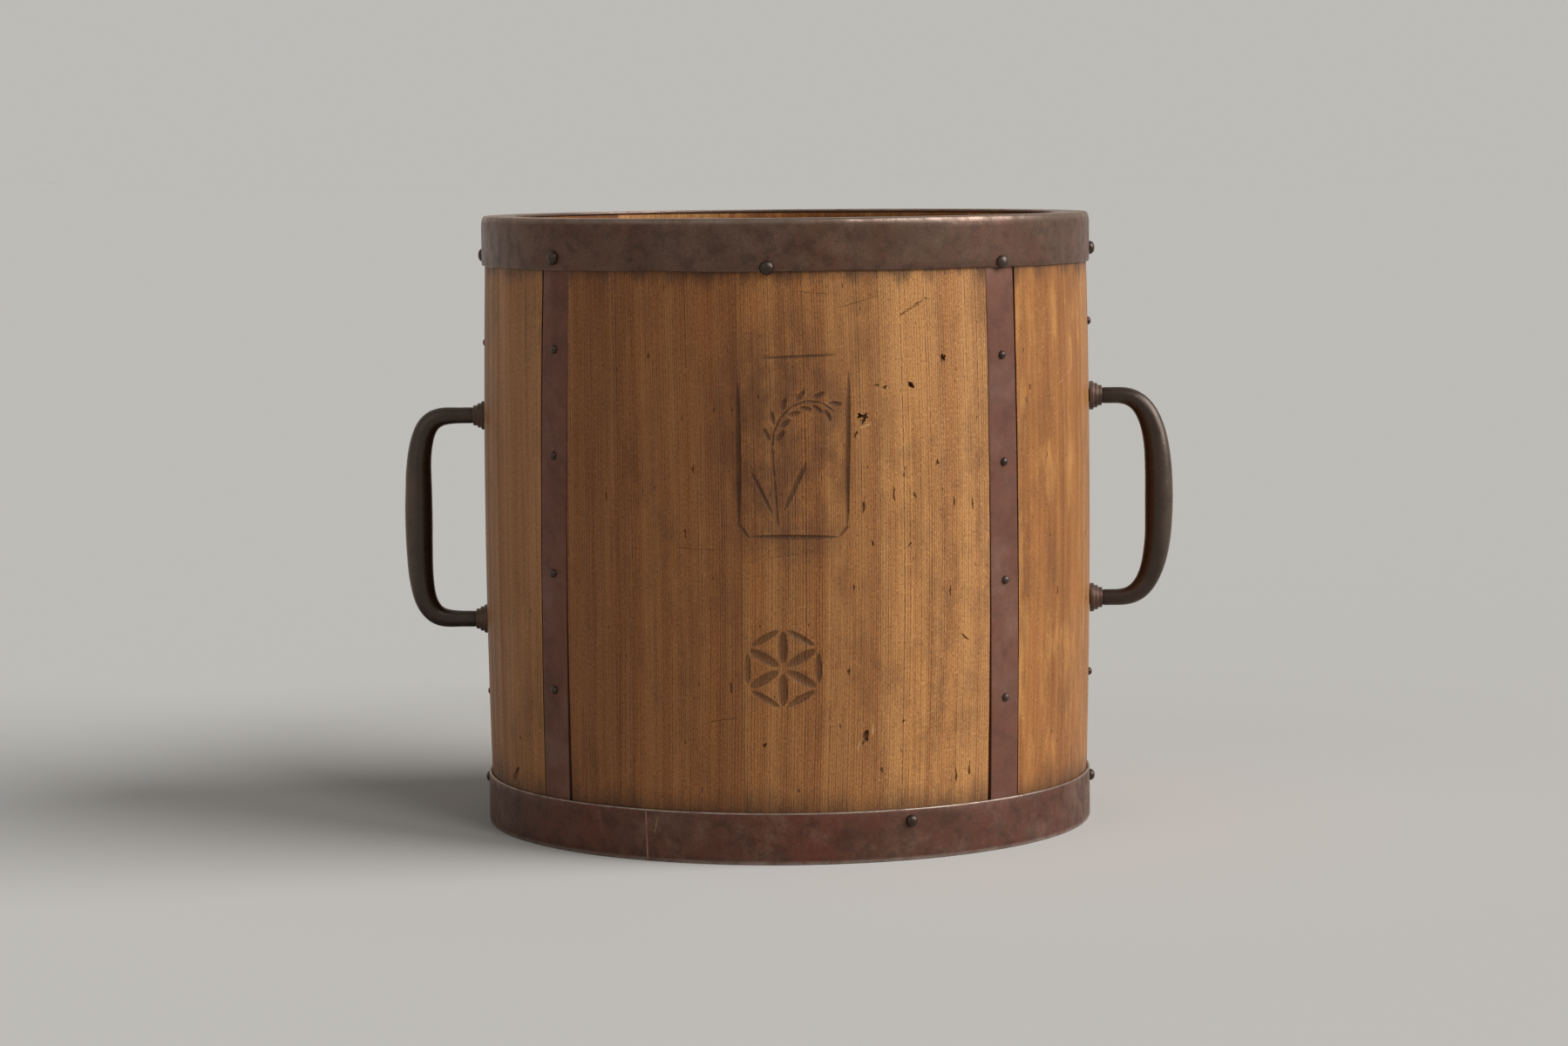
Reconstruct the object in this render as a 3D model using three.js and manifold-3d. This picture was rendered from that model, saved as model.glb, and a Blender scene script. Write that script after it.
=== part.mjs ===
// Round rice measure of about 18 litres: a coopered wooden tub bound with iron, a fixed handle on each side.
// Frame: +Z up, origin on the ground under the middle of the tub, front towards -Y, handles on X.
// Lengths are millimetres. Angles are degrees round the tub from the front, positive towards +X.

import * as THREE from "three";
import { mergeVertices } from "three/addons/utils/BufferGeometryUtils.js";
import Module from "manifold-3d";

const wasm = await Module();
wasm.setup();

// Gap left between pieces that touch, and how far a cutter runs past what it cuts
const fit = 0.3;
const overrun = 5;

// Wooden tub
const height = 319;
const innerRadius = 142.4;
const wallThickness = 15.8;
const wallBulge = 1.8;
const footRecess = 20;
const bottomThickness = 16;
const crozeDepth = 4.5;
const boardLap = 8;

// Iron binding: two hoops, and upright straps let in flush with the wall
const ironThickness = 1.5;
const rimHoopHeight = 26;
const footHoopHeight = 26;
const rimBend = 1.5;
const strapWidth = 19;
const strapSideGap = 0.8;
const strapEndGap = 6;
const strapAngle = 45.2;
const strapLean = { front_right: -0.55, rear_right: 0.55, rear_left: -1, front_left: 1 };

// Stave joints: four lie behind the straps, clear of their nails
const jointBesideStrap = 2.4;
const frontLeftJoint = -5.8;
const frontRightJoint = 18.9;
const sideJoint = 15;
const rearJoint = 15;

// Handles: a bowed bar whose tangs pass through washer, strap and wall, and are peened inside.
// A higher power makes the bow squarer.
const handleAngle = 90;
const handleLift = { right: 9, left: -0.5 };
const legSpacing = { right: 107.2, left: 108.6 };
const gripStandoff = 36.5;
const bowReach = 24;
const bowPower = { right: 2.8, left: 4 };
const tangRadius = 3.5;
const legShoulder = 0.8;
const gripSwell = 3.2;
const barFlatness = 0.92;
const peenSpread = 2;
const peenDepth = 2.4;
const washerRings = [
  { wall: 3.8, height: 2.1 },
  { wall: 2.7, height: 2.1 },
  { wall: 1.6, height: 2.3 },
];
const washerEdge = 0.6;

// Nails: a domed head on a round shank that stops short of the bottom's groove
const rimNail = { head: 3.2, dome: 2.4, shank: 1.1 };
const footNail = { head: 2.7, dome: 2.2, shank: 1.1 };
const strapNail = { head: 1.9, dome: 1.5, shank: 0.9 };
const nailCover = 2;
const rimNailRise = 4.6;
const rimNailShift = { front: -2.6, front_right: -1.8, right: 2.3, left: 0.7, front_left: 1.8 };
const rimNailTurn = -1;
const footNailDrop = 6;
const footNailFromJoint = 5.6;
const sideNailReach = 93;
const strapNailShares = [0, 0.31, 0.655, 1];
const strapNailTopInset = 41.4;
const strapNailFootInset = 53.1;
const strapNailShift = { front_right: -2.1, rear_right: 2, rear_left: -2, front_left: 2.1 };

// Fineness of round shapes
const tubSegments = 72;
const turnedSegments = 18;
const nailSegments = 8;
const barSides = 12;
const bowSteps = 12;
const bulgeSteps = 6;
const domeSteps = 3;
const shoulderSteps = 3;

// Sizes that follow from the ones above
const woodRadius = innerRadius + wallThickness;
const hoopInner = woodRadius + fit;
const hoopOuter = hoopInner + ironThickness;
const staveTop = height - ironThickness - fit;
const floorTop = footRecess + bottomThickness;
const crozeRadius = innerRadius + crozeDepth;
const nailTip = crozeRadius + nailCover;
const skirtEdge = height - rimHoopHeight;
const wallMiddle = (skirtEdge + footHoopHeight) / 2;
const tangBore = tangRadius + fit;
const peenRadius = tangRadius + peenSpread;
const legRadius = tangRadius + legShoulder;
const gripRadius = legRadius + gripSwell;
const washerHeight = washerRings.reduce((sum, { height: tall }) => sum + tall, 0);
const gripOut = woodRadius + wallBulge + gripStandoff;
const cutReach = hoopOuter + gripOut;

const wood = new THREE.MeshStandardMaterial({ color: 0xa8743f, roughness: 0.62, metalness: 0 });
const floorWood = new THREE.MeshStandardMaterial({ color: 0x9a6b3c, roughness: 0.7, metalness: 0 });
const hoopIron = new THREE.MeshStandardMaterial({ color: 0x503a30, roughness: 0.55, metalness: 0.75 });
const strapIron = new THREE.MeshStandardMaterial({ color: 0x5b3f38, roughness: 0.6, metalness: 0.7 });
const handleIron = new THREE.MeshStandardMaterial({ color: 0x3a2d27, roughness: 0.45, metalness: 0.8 });
const nailIron = new THREE.MeshStandardMaterial({ color: 0x2f2826, roughness: 0.4, metalness: 0.85 });

const measure = new THREE.Group();
const radians = THREE.MathUtils.degToRad;
const degrees = THREE.MathUtils.radToDeg;

// A closed geometry as a solid that can be joined and cut, and such a solid as a geometry again
function solidOf(geometry) {
  const bare = geometry.clone();
  bare.deleteAttribute("normal");
  bare.deleteAttribute("uv");
  const merged = mergeVertices(bare);
  const mesh = new wasm.Mesh({
    numProp: 3,
    vertProperties: merged.attributes.position.array,
    triVerts: new Uint32Array(merged.index.array),
  });
  return new wasm.Manifold(mesh);
}

function geometryOf(solid) {
  const mesh = solid.getMesh();
  const geometry = new THREE.BufferGeometry();
  geometry.setAttribute("position", new THREE.BufferAttribute(mesh.vertProperties, 3));
  geometry.setIndex(new THREE.BufferAttribute(mesh.triVerts, 1));
  geometry.computeVertexNormals();
  return geometry;
}

function addPiece(name, geometry, material, parent = measure) {
  const piece = new THREE.Mesh(geometry, material);
  piece.name = name;
  parent.add(piece);
  return piece;
}

// A profile of [radius, height] points turned about the tub's axis
function turned(profile) {
  const points = profile.map(([r, z]) => new THREE.Vector2(r, z));
  return solidOf(new THREE.LatheGeometry(points, tubSegments).rotateX(Math.PI / 2));
}

function ring(inner, outer, low, high) {
  return turned([[inner, low], [outer, low], [outer, high], [inner, high], [inner, low]]);
}

// The wall's outer radius at a height: it bulges a little between the hoops
function wallRadius(z) {
  const share = THREE.MathUtils.clamp((z - footHoopHeight) / (skirtEdge - footHoopHeight), 0, 1);
  return woodRadius + wallBulge * 4 * share * (1 - share);
}

// Points of [radius, height] up the wall's outer face, moved outwards by an offset
function wallLine(offset, low, high) {
  const levels = Array.from(
    { length: bulgeSteps + 1 },
    (_, i) => footHoopHeight + ((skirtEdge - footHoopHeight) * i) / bulgeSteps,
  );
  const inside = levels.filter((z) => z > low && z < high);
  return [low, ...inside, high].map((z) => [wallRadius(z) + offset, z]);
}

// An upright prism between two angles, each side drawn in by inset
function wedge(from, to, inset) {
  const corner = (angle, radius, shift) => {
    const a = radians(angle);
    return [radius * Math.sin(a) + shift * Math.cos(a), -radius * Math.cos(a) + shift * Math.sin(a)];
  };
  const middle = (from + to) / 2;
  const apex = inset / Math.sin(radians((to - from) / 2));
  const shape = new THREE.Shape();
  shape.moveTo(...corner(middle, apex, 0));
  shape.lineTo(...corner(from, cutReach, inset));
  shape.lineTo(...corner(middle, cutReach, 0));
  shape.lineTo(...corner(to, cutReach, -inset));
  const prism = new THREE.ExtrudeGeometry(shape, { depth: height + 2 * overrun, bevelEnabled: false });
  return solidOf(prism.translate(0, 0, -overrun));
}

// What a turned solid has within a width across an angle; lean tips it, its top towards greater angles
function partAcross(solid, angle, width, lean) {
  const slab = new THREE.BoxGeometry(width, cutReach, height + 4 * overrun).rotateY(radians(lean));
  slab.translate(0, -cutReach / 2, height / 2);
  return solid.intersect(solidOf(slab.rotateZ(radians(angle))));
}

// A group turned to face outwards at an angle: inside it, outwards is -Y
function stationAt(angle) {
  const station = new THREE.Group();
  station.rotation.z = radians(angle);
  measure.add(station);
  return station;
}

// A profile of [radius, distance outwards] points turned about the outward axis of a station
function turnedOutwards(profile, segments) {
  const points = profile.map(([r, out]) => new THREE.Vector2(r, out));
  return new THREE.LatheGeometry(points, segments).rotateX(Math.PI);
}

// Nails, and the holes that they pass through

const holes = [];

function nailGeometry({ head, dome, shank }, length) {
  const profile = [[0, -length], [shank, -length], [shank, 0], [head, 0]];
  for (let i = 1; i < domeSteps; i += 1) {
    const t = (i / domeSteps) * (Math.PI / 2);
    profile.push([head * Math.cos(t), dome * Math.sin(t)]);
  }
  profile.push([0, dome]);
  return turnedOutwards(profile, nailSegments);
}

function nailHoleGeometry({ shank }, length) {
  const bore = shank + fit;
  const end = -length - fit;
  return turnedOutwards([[0, end], [bore, end], [bore, overrun], [0, overrun]], nailSegments);
}

function addNail(name, kind, angle, surface, z) {
  const seat = surface + fit;
  const nail = addPiece(name, nailGeometry(kind, seat - nailTip), nailIron, stationAt(angle));
  nail.position.set(0, -seat, z);
  measure.updateMatrixWorld(true);
  holes.push(solidOf(nailHoleGeometry(kind, seat - nailTip).applyMatrix4(nail.matrixWorld)));
}

const straps = {
  front_right: strapAngle,
  rear_right: 180 - strapAngle,
  rear_left: 180 + strapAngle,
  front_left: 360 - strapAngle,
};
const handles = { right: handleAngle, left: -handleAngle };
const leanOf = (side) => strapLean[side] ?? 0;
const strapTurn = (side, z) => degrees(((z - height / 2) * Math.tan(radians(leanOf(side)))) / woodRadius);
const handleHeight = (side) => wallMiddle + handleLift[side];
const handleEnds = { upper: 1, lower: -1 };

const frontNail = { front: rimNailTurn, rear: 180 };
for (const [side, angle] of Object.entries({ ...frontNail, ...straps, ...handles })) {
  const z = skirtEdge + rimNailRise + (rimNailShift[side] ?? 0);
  addNail(`rim_nail_${side}`, rimNail, angle + strapTurn(side, z), hoopOuter, z);
}

const footNailAngle = frontRightJoint + footNailFromJoint;
for (const [side, angle] of Object.entries({ front: footNailAngle, rear: 180 + footNailAngle, ...handles })) {
  addNail(`foot_nail_${side}`, footNail, angle, hoopOuter, footHoopHeight - footNailDrop);
}

const strapNailTop = skirtEdge - strapNailTopInset;
const strapNailSpan = strapNailTop - footHoopHeight - strapNailFootInset;
for (const [side, angle] of Object.entries(straps)) {
  for (const [i, share] of strapNailShares.entries()) {
    const z = strapNailTop - share * strapNailSpan + strapNailShift[side];
    addNail(`strap_nail_${side}_${i + 1}`, strapNail, angle + strapTurn(side, z), wallRadius(z), z);
  }
}

for (const [side, angle] of Object.entries(handles)) {
  for (const [end, sign] of Object.entries(handleEnds)) {
    const z = handleHeight(side) + sign * sideNailReach;
    addNail(`strap_nail_${side}_${end}`, strapNail, angle, wallRadius(z), z);
  }
}

// Handles: one bar through peen, tang, shoulder, leg and bow, from the upper end to the lower.
// In each point, lean is the angle of the bar's outer side above the horizontal.

const legReach = (side) => legSpacing[side] / 2;
const washerSeat = (side, sign) => wallRadius(handleHeight(side) + sign * legReach(side)) + fit;

function handleHalf(side, sign) {
  const leg = legReach(side);
  const power = bowPower[side];
  const shoulder = washerSeat(side, sign) + washerHeight + fit;
  const half = [
    { out: innerRadius, z: leg, radius: peenRadius, lean: Math.PI / 2 },
    { out: innerRadius + peenDepth, z: leg, radius: tangRadius, lean: Math.PI / 2 },
    { out: shoulder, z: leg, radius: tangRadius, lean: Math.PI / 2 },
    { out: shoulder, z: leg, radius: legRadius, lean: Math.PI / 2 },
  ];
  for (let i = 0; i <= bowSteps; i += 1) {
    const t = (Math.PI / 2) * (1 - i / bowSteps);
    const scale = (Math.cos(t) ** power + Math.sin(t) ** power) ** (-1 / power);
    const across = scale * Math.cos(t);
    const up = scale * Math.sin(t);
    half.push({
      out: gripOut - bowReach + bowReach * across,
      z: leg * up,
      radius: legRadius + gripSwell * THREE.MathUtils.smoothstep(i / bowSteps, 0, 1),
      lean: Math.atan2(up ** (power - 1) / leg, across ** (power - 1) / bowReach),
    });
  }
  return half.map((point) => ({ ...point, z: sign * point.z, lean: sign * point.lean }));
}

function handlePath(side) {
  return [...handleHalf(side, 1), ...handleHalf(side, -1).slice(0, -1).reverse()];
}

// Rings of points square to the path, joined into one closed bar
function sweptBar(path) {
  const vertices = [];
  for (const { out, z, radius, lean } of path) {
    for (let i = 0; i < barSides; i += 1) {
      const a = (2 * Math.PI * i) / barSides;
      const across = radius * Math.cos(a);
      const aside = radius * barFlatness * Math.sin(a);
      vertices.push(aside, -(out + across * Math.cos(lean)), z + across * Math.sin(lean));
    }
  }
  const at = (row, i) => row * barSides + (i % barSides);
  const last = path.length - 1;
  const faces = [];
  for (let k = 0; k < last; k += 1) {
    for (let i = 0; i < barSides; i += 1) {
      faces.push(at(k, i), at(k + 1, i), at(k, i + 1), at(k + 1, i), at(k + 1, i + 1), at(k, i + 1));
    }
  }
  for (let i = 1; i + 1 < barSides; i += 1) {
    faces.push(at(0, 0), at(0, i), at(0, i + 1), at(last, 0), at(last, i + 1), at(last, i));
  }
  const geometry = new THREE.BufferGeometry();
  geometry.setAttribute("position", new THREE.Float32BufferAttribute(vertices, 3));
  geometry.setIndex(faces);
  geometry.computeVertexNormals();
  return geometry;
}

function washerGeometry() {
  const profile = [[tangBore, 0]];
  let base = 0;
  for (const { wall: thickness, height: tall } of washerRings) {
    const radius = tangBore + thickness;
    const top = base + tall;
    profile.push([radius, base], [radius, top - washerEdge], [radius - washerEdge, top]);
    base = top;
  }
  profile.push([tangBore, washerHeight], [tangBore, 0]);
  return turnedOutwards(profile, turnedSegments);
}

function tangHoleGeometry() {
  const mouth = peenRadius + fit;
  const profile = [
    [0, innerRadius - overrun],
    [mouth, innerRadius - overrun],
    [mouth, innerRadius],
    [tangBore, innerRadius + peenDepth + fit],
    [tangBore, cutReach],
    [0, cutReach],
  ];
  return turnedOutwards(profile, turnedSegments);
}

for (const [side, angle] of Object.entries(handles)) {
  const station = stationAt(angle);
  station.position.z = handleHeight(side);
  addPiece(`handle_${side}`, sweptBar(handlePath(side)), handleIron, station);
  for (const [end, sign] of Object.entries(handleEnds)) {
    const legHeight = sign * legReach(side);
    const washer = addPiece(`handle_washer_${side}_${end}`, washerGeometry(), handleIron, station);
    washer.position.set(0, -washerSeat(side, sign), legHeight);
    measure.updateMatrixWorld(true);
    const tangHole = tangHoleGeometry().translate(0, 0, legHeight);
    holes.push(solidOf(tangHole.applyMatrix4(station.matrixWorld)));
  }
}

const allHoles = wasm.Manifold.union(holes);

// Straps, also under the handles, and the grooves that they are let into

function shell(inner, outer, low, high) {
  const face = wallLine(outer, low, high);
  return turned([...face, ...wallLine(inner, low, high).reverse(), face[0]]);
}

const strapShell = shell(-ironThickness, 0, strapEndGap, staveTop - strapEndGap);
const grooveShell = shell(-ironThickness - fit, hoopOuter - woodRadius, -overrun, height + overrun);
const grooves = [];
for (const [side, angle] of Object.entries({ ...straps, ...handles })) {
  const strap = partAcross(strapShell, angle, strapWidth, leanOf(side));
  addPiece(`strap_${side}`, geometryOf(strap.subtract(allHoles)), strapIron);
  grooves.push(partAcross(grooveShell, angle, strapWidth + 2 * strapSideGap, leanOf(side)));
}

// Hoops: the rim hoop is turned over the staves' end grain, the foot hoop is a plain band

function rimHoopProfile() {
  const bend = (radius) => {
    const centreRadius = hoopInner - rimBend;
    const centreHeight = height - ironThickness - rimBend;
    return Array.from({ length: shoulderSteps + 1 }, (_, i) => {
      const t = (i / shoulderSteps) * (Math.PI / 2);
      return [centreRadius + radius * Math.cos(t), centreHeight + radius * Math.sin(t)];
    });
  };
  const mouth = innerRadius + fit;
  return [
    [hoopInner, skirtEdge],
    [hoopOuter, skirtEdge],
    ...bend(rimBend + ironThickness),
    [mouth, height],
    [mouth, height - ironThickness],
    ...bend(rimBend).reverse(),
    [hoopInner, skirtEdge],
  ];
}

addPiece("rim_hoop", geometryOf(turned(rimHoopProfile()).subtract(allHoles)), hoopIron);
const footBand = ring(hoopInner, hoopOuter, 0, footHoopHeight);
addPiece("foot_hoop", geometryOf(footBand.subtract(allHoles)), hoopIron);

// Staves: one turned wall with the croze for the bottom, parted at the joints

const uncutWall = turned([
  [innerRadius, 0],
  ...wallLine(0, 0, staveTop - rimBend),
  [woodRadius - rimBend, staveTop],
  [innerRadius, staveTop],
  [innerRadius, floorTop + fit],
  [crozeRadius, floorTop + fit],
  [crozeRadius, footRecess - fit],
  [innerRadius, footRecess - fit],
  [innerRadius, 0],
]);
const wall = uncutWall.subtract(wasm.Manifold.union(grooves)).subtract(allHoles);

const cornerJoint = strapAngle - jointBesideStrap;
const leftJoints = [360 - handleAngle - sideJoint, 360 - handleAngle + sideJoint];
const staves = {
  front_left: [-cornerJoint, frontLeftJoint],
  front_middle: [frontLeftJoint, frontRightJoint],
  front_right: [frontRightJoint, cornerJoint],
  right_front: [cornerJoint, handleAngle - sideJoint],
  right_middle: [handleAngle - sideJoint, handleAngle + sideJoint],
  right_rear: [handleAngle + sideJoint, 180 - cornerJoint],
  rear_right: [180 - cornerJoint, 180 - rearJoint],
  rear_middle: [180 - rearJoint, 180 + rearJoint],
  rear_left: [180 + rearJoint, 180 + cornerJoint],
  left_rear: [180 + cornerJoint, leftJoints[0]],
  left_middle: leftJoints,
  left_front: [leftJoints[1], 360 - cornerJoint],
};
for (const [side, [from, to]] of Object.entries(staves)) {
  addPiece(`stave_${side}`, geometryOf(wall.intersect(wedge(from, to, fit / 2))), wood);
}

// Bottom: two boards that meet in a half lap, their edge held in the croze

function slabBetween(fromY, toY, low, high) {
  const box = new THREE.BoxGeometry(cutReach, toY - fromY, high - low);
  return solidOf(box.translate(0, (fromY + toY) / 2, (low + high) / 2));
}

const bottomRadius = crozeRadius - fit;
const disc = turned([[0, footRecess], [bottomRadius, footRecess], [bottomRadius, floorTop], [0, floorTop]]);
const lapLevel = (footRecess + floorTop) / 2;
const under = footRecess - overrun;
const over = floorTop + overrun;
const lapEdge = (boardLap - fit) / 2;
const shoulderEdge = (boardLap + fit) / 2;
const frontCut = slabBetween(-cutReach, -shoulderEdge, under, over).add(
  slabBetween(-cutReach, lapEdge, lapLevel + fit / 2, over),
);
const rearCut = slabBetween(shoulderEdge, cutReach, under, over).add(
  slabBetween(-lapEdge, cutReach, under, lapLevel - fit / 2),
);
addPiece("bottom_board_front", geometryOf(disc.intersect(frontCut)), floorWood);
addPiece("bottom_board_rear", geometryOf(disc.intersect(rearCut)), floorWood);

export default measure;
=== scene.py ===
"""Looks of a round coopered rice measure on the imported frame: staves, hoops, straps, nails, handles."""
import random
from collections import namedtuple
from math import atan2, copysign, cos, degrees, pi, radians, sin, sqrt

import bmesh
import bpy
from bmesh import ops
from mathutils import Matrix, Vector, noise


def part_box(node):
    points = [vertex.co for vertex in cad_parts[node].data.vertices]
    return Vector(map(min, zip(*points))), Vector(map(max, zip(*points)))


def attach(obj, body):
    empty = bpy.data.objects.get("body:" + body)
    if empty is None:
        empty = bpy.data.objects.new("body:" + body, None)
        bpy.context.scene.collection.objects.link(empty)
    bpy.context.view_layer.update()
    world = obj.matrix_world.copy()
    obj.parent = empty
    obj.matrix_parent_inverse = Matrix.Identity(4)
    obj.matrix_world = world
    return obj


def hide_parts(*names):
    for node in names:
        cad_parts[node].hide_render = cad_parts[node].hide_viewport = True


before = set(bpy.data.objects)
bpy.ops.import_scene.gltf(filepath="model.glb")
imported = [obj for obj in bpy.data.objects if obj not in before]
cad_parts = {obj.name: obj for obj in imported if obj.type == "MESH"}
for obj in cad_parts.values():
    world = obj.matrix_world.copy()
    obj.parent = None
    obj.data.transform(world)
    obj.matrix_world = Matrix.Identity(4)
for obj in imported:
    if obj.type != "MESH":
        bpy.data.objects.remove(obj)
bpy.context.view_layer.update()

MM = 0.001
TAU = 2 * pi
CLOSE = 1e-6
Place = namedtuple("Place", "angle first last inner outer low high")
Cut = namedtuple("Cut", "angle height length width depth tilt rough soil")
Wood = namedtuple("Wood", "pale deep pitch wander ring fibre fleck patch")
Iron = namedtuple("Iron", "base rust dark dust shine rough gloss grain mottle bloom speck relief")


def angle_of(point):
    """The angle of a point round the tub, from the front."""
    return atan2(point.x, -point.y)


def points_of(node):
    return [v.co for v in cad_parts[node].data.vertices]


def place_of(node):
    """Where a node lies: angles round the tub, radii from its axis, heights."""
    points = points_of(node)
    angle = angle_of(sum(points, Vector()) / len(points))
    facing = Vector((sin(angle), -cos(angle)))
    aside = Vector((cos(angle), sin(angle)))
    turns = [atan2(p.xy.dot(aside), p.xy.dot(facing)) for p in points]
    first = angle + min(turns)
    last = angle + max(turns)
    radii = [p.xy.length for p in points]
    heights = [p.z for p in points]
    return Place((first + last) / 2, first, last, min(radii), max(radii), min(heights), max(heights))


def level_of(node):
    """The height of a node's middle."""
    low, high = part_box(node)
    return (low[2] + high[2]) / 2


def washer_name(side, end):
    return "handle_washer_%s_%s" % (side, end)


FIT = 0.3 * MM
IRON = 1.5 * MM

# Sizes that the frame gives
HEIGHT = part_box("rim_hoop")[1][2]
RIM_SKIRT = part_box("rim_hoop")[0][2]
FOOT_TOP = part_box("foot_hoop")[1][2]
HOOP_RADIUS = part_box("foot_hoop")[1][0]
HOOP_INNER = HOOP_RADIUS - IRON
WOOD_RADIUS = HOOP_INNER - FIT
WALL_BULGE = place_of("stave_front_middle").outer - WOOD_RADIUS
STAVE_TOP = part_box("stave_front_middle")[1][2]
INNER_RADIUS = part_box("handle_right")[0][0]
FLOOR_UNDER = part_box("bottom_board_front")[0][2]
FLOOR_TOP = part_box("bottom_board_front")[1][2]
FLOOR_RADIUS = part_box("bottom_board_front")[1][0]

STAVES = [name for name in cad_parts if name.startswith("stave_")]
STRAPS = [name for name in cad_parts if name.startswith("strap_") and "nail" not in name]
NAILS = [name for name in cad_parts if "_nail_" in name]
SIDES = ("right", "left")
ENDS = ("upper", "lower")


def wood_radius(z):
    """The wall's outer radius at a height: it bulges a little between the hoops."""
    share = min(max((z - FOOT_TOP) / (RIM_SKIRT - FOOT_TOP), 0), 1)
    return WOOD_RADIUS + WALL_BULGE * 4 * share * (1 - share)


def lean_of(node):
    """How far a strap turns round the tub from its foot to its top."""
    where = place_of(node)
    ends = []
    for level in (where.low, where.high):
        row = [p for p in points_of(node) if abs(p.z - level) < MM]
        turns = [between_angles(where.angle, angle_of(p)) for p in row]
        ends.append((min(turns) + max(turns)) / 2)
    return ends[1] - ends[0]


def turned_by(bm, turn):
    """Turns each point about the tub's axis by what a function gives for it."""
    for vert in bm.verts:
        vert.co.rotate(Matrix.Rotation(turn(vert.co), 3, "Z"))


def levels_between(low, high, rows):
    return [low + (high - low) * i / rows for i in range(rows + 1)]


def on_tub(angle, radius, z):
    """The point at an angle from the front, a radius and a height."""
    return Vector((radius * sin(angle), -radius * cos(angle), z))


def facing_out(angle, radius, z):
    """The frame of a point on the wall: X along the wall, Y up, Z outwards."""
    aside = Vector((cos(angle), sin(angle), 0))
    up = Vector((0, 0, 1))
    out = Vector((sin(angle), -cos(angle), 0))
    turned = Matrix((aside, up, out)).transposed().to_4x4()
    return Matrix.Translation(on_tub(angle, radius, z)) @ turned


def between_angles(a, b):
    """The turn from one angle to another, at most half a circle either way."""
    return (b - a + pi) % TAU - pi


# Mesh work

CORNER = radians(50)
SHARP = 35
ROUND_SHARP = 50
WORK_APART = (3.7, 1.3, 0)
RAGGED_APART = (90, 700)
RAGGED_SIZE = 1.4
# The sphere of a lens lies half its radius outside the surface, so it is wider than its cut
LENS_SPREAD = 1 / sqrt(0.75)


def loop_of(bm, points):
    """A closed loop of edges through a few points."""
    verts = [bm.verts.new(p) for p in points]
    return [bm.edges.new((a, b)) for a, b in zip(verts, verts[1:] + verts[:1])]


def line_of(bm, points):
    """An open line of edges through a few points."""
    verts = [bm.verts.new(p) for p in points]
    return [bm.edges.new((a, b)) for a, b in zip(verts, verts[1:])]


def radius_of(vert):
    return vert.co.xy.length


def once(items):
    """The items in their order, each once."""
    return list(dict.fromkeys(items))


def outward(bm):
    """Turns every face outwards."""
    ops.recalc_face_normals(bm, faces=bm.faces)


def spun(bm, edges, angle, steps):
    """A line or loop of edges turned about the Z axis, closed after a full turn."""
    verts = once(v for e in edges for v in e.verts)
    ops.spin(
        bm, geom=verts + edges, cent=(0, 0, 0), axis=(0, 0, 1), angle=angle, steps=steps,
        use_merge=abs(angle) >= TAU - CLOSE,
    )
    ops.remove_doubles(bm, verts=bm.verts, dist=CLOSE)


def lathed(edges_of, profile, steps):
    """A line or a loop of radii and heights turned once about the Z axis."""
    bm = bmesh.new()
    spun(bm, edges_of(bm, [on_tub(0, r, z) for r, z in profile]), TAU, steps)
    outward(bm)
    return bm


def wall_band(where, half, levels, inner, outer, steps):
    """A band along the wall, half its width to either side of a place, between two radii."""
    profile = [(inner(z), z) for z in levels] + [(outer(z), z) for z in reversed(levels)]
    bm = bmesh.new()
    spun(bm, loop_of(bm, [on_tub(where.angle - half, r, z) for r, z in profile]), 2 * half, steps)
    fill_ends(bm)
    return bm


def fill_ends(bm):
    """Closes the open ends of a spun shape."""
    ops.edgeloop_fill(bm, edges=[e for e in bm.edges if e.is_boundary])
    outward(bm)


def eased(bm, edges, width, segments=2):
    """The edges rounded over by a width."""
    ops.bevel(
        bm, geom=edges, offset=width, offset_type="OFFSET", segments=segments, profile=0.5,
        affect="EDGES", material=-1, clamp_overlap=True,
    )


def corner_edges(bm, where=lambda vert: True):
    """The edges at a corner of the shape whose two ends pass a test."""
    return [
        e for e in bm.edges
        if len(e.link_faces) == 2 and e.calc_face_angle() > CORNER and all(where(v) for v in e.verts)
    ]


def apart(seed, steps):
    """A shift that gives each seed a place of its own in the noise."""
    return Vector([seed * step for step in steps])


def worked(bm, depth, size, seed):
    """Moves every point inwards by up to a depth, in waves of a size, as handwork leaves a surface."""
    shift = apart(seed, WORK_APART)
    for vert in bm.verts:
        away = vert.co.xy.normalized()
        vert.co.xy += away * depth * (noise.noise(vert.co / size + shift) - 1) / 2


def swept(bm, section, frames):
    """A closed section carried through a row of frames, with both ends closed."""
    edges = loop_of(bm, [frames[0] @ Vector((x, y, 0)) for x, y in section])
    ops.edgeloop_fill(bm, edges=edges)
    for before, after in zip(frames, frames[1:]):
        made = ops.extrude_edge_only(bm, edges=edges)["geom"]
        ring = [g for g in made if isinstance(g, bmesh.types.BMVert)]
        edges = [g for g in made if isinstance(g, bmesh.types.BMEdge) and all(v in ring for v in g.verts)]
        ops.transform(bm, matrix=after @ before.inverted(), verts=ring)
    ops.edgeloop_fill(bm, edges=edges)
    outward(bm)


def finish_mesh(mesh, sharp):
    """Smooths a mesh but for its corners over an angle in degrees."""
    mesh.shade_smooth()
    mesh.set_sharp_from_angle(angle=radians(sharp))


def linked(name, data):
    """A new object in the scene."""
    made = bpy.data.objects.new(name, data)
    bpy.context.scene.collection.objects.link(made)
    return made


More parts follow.
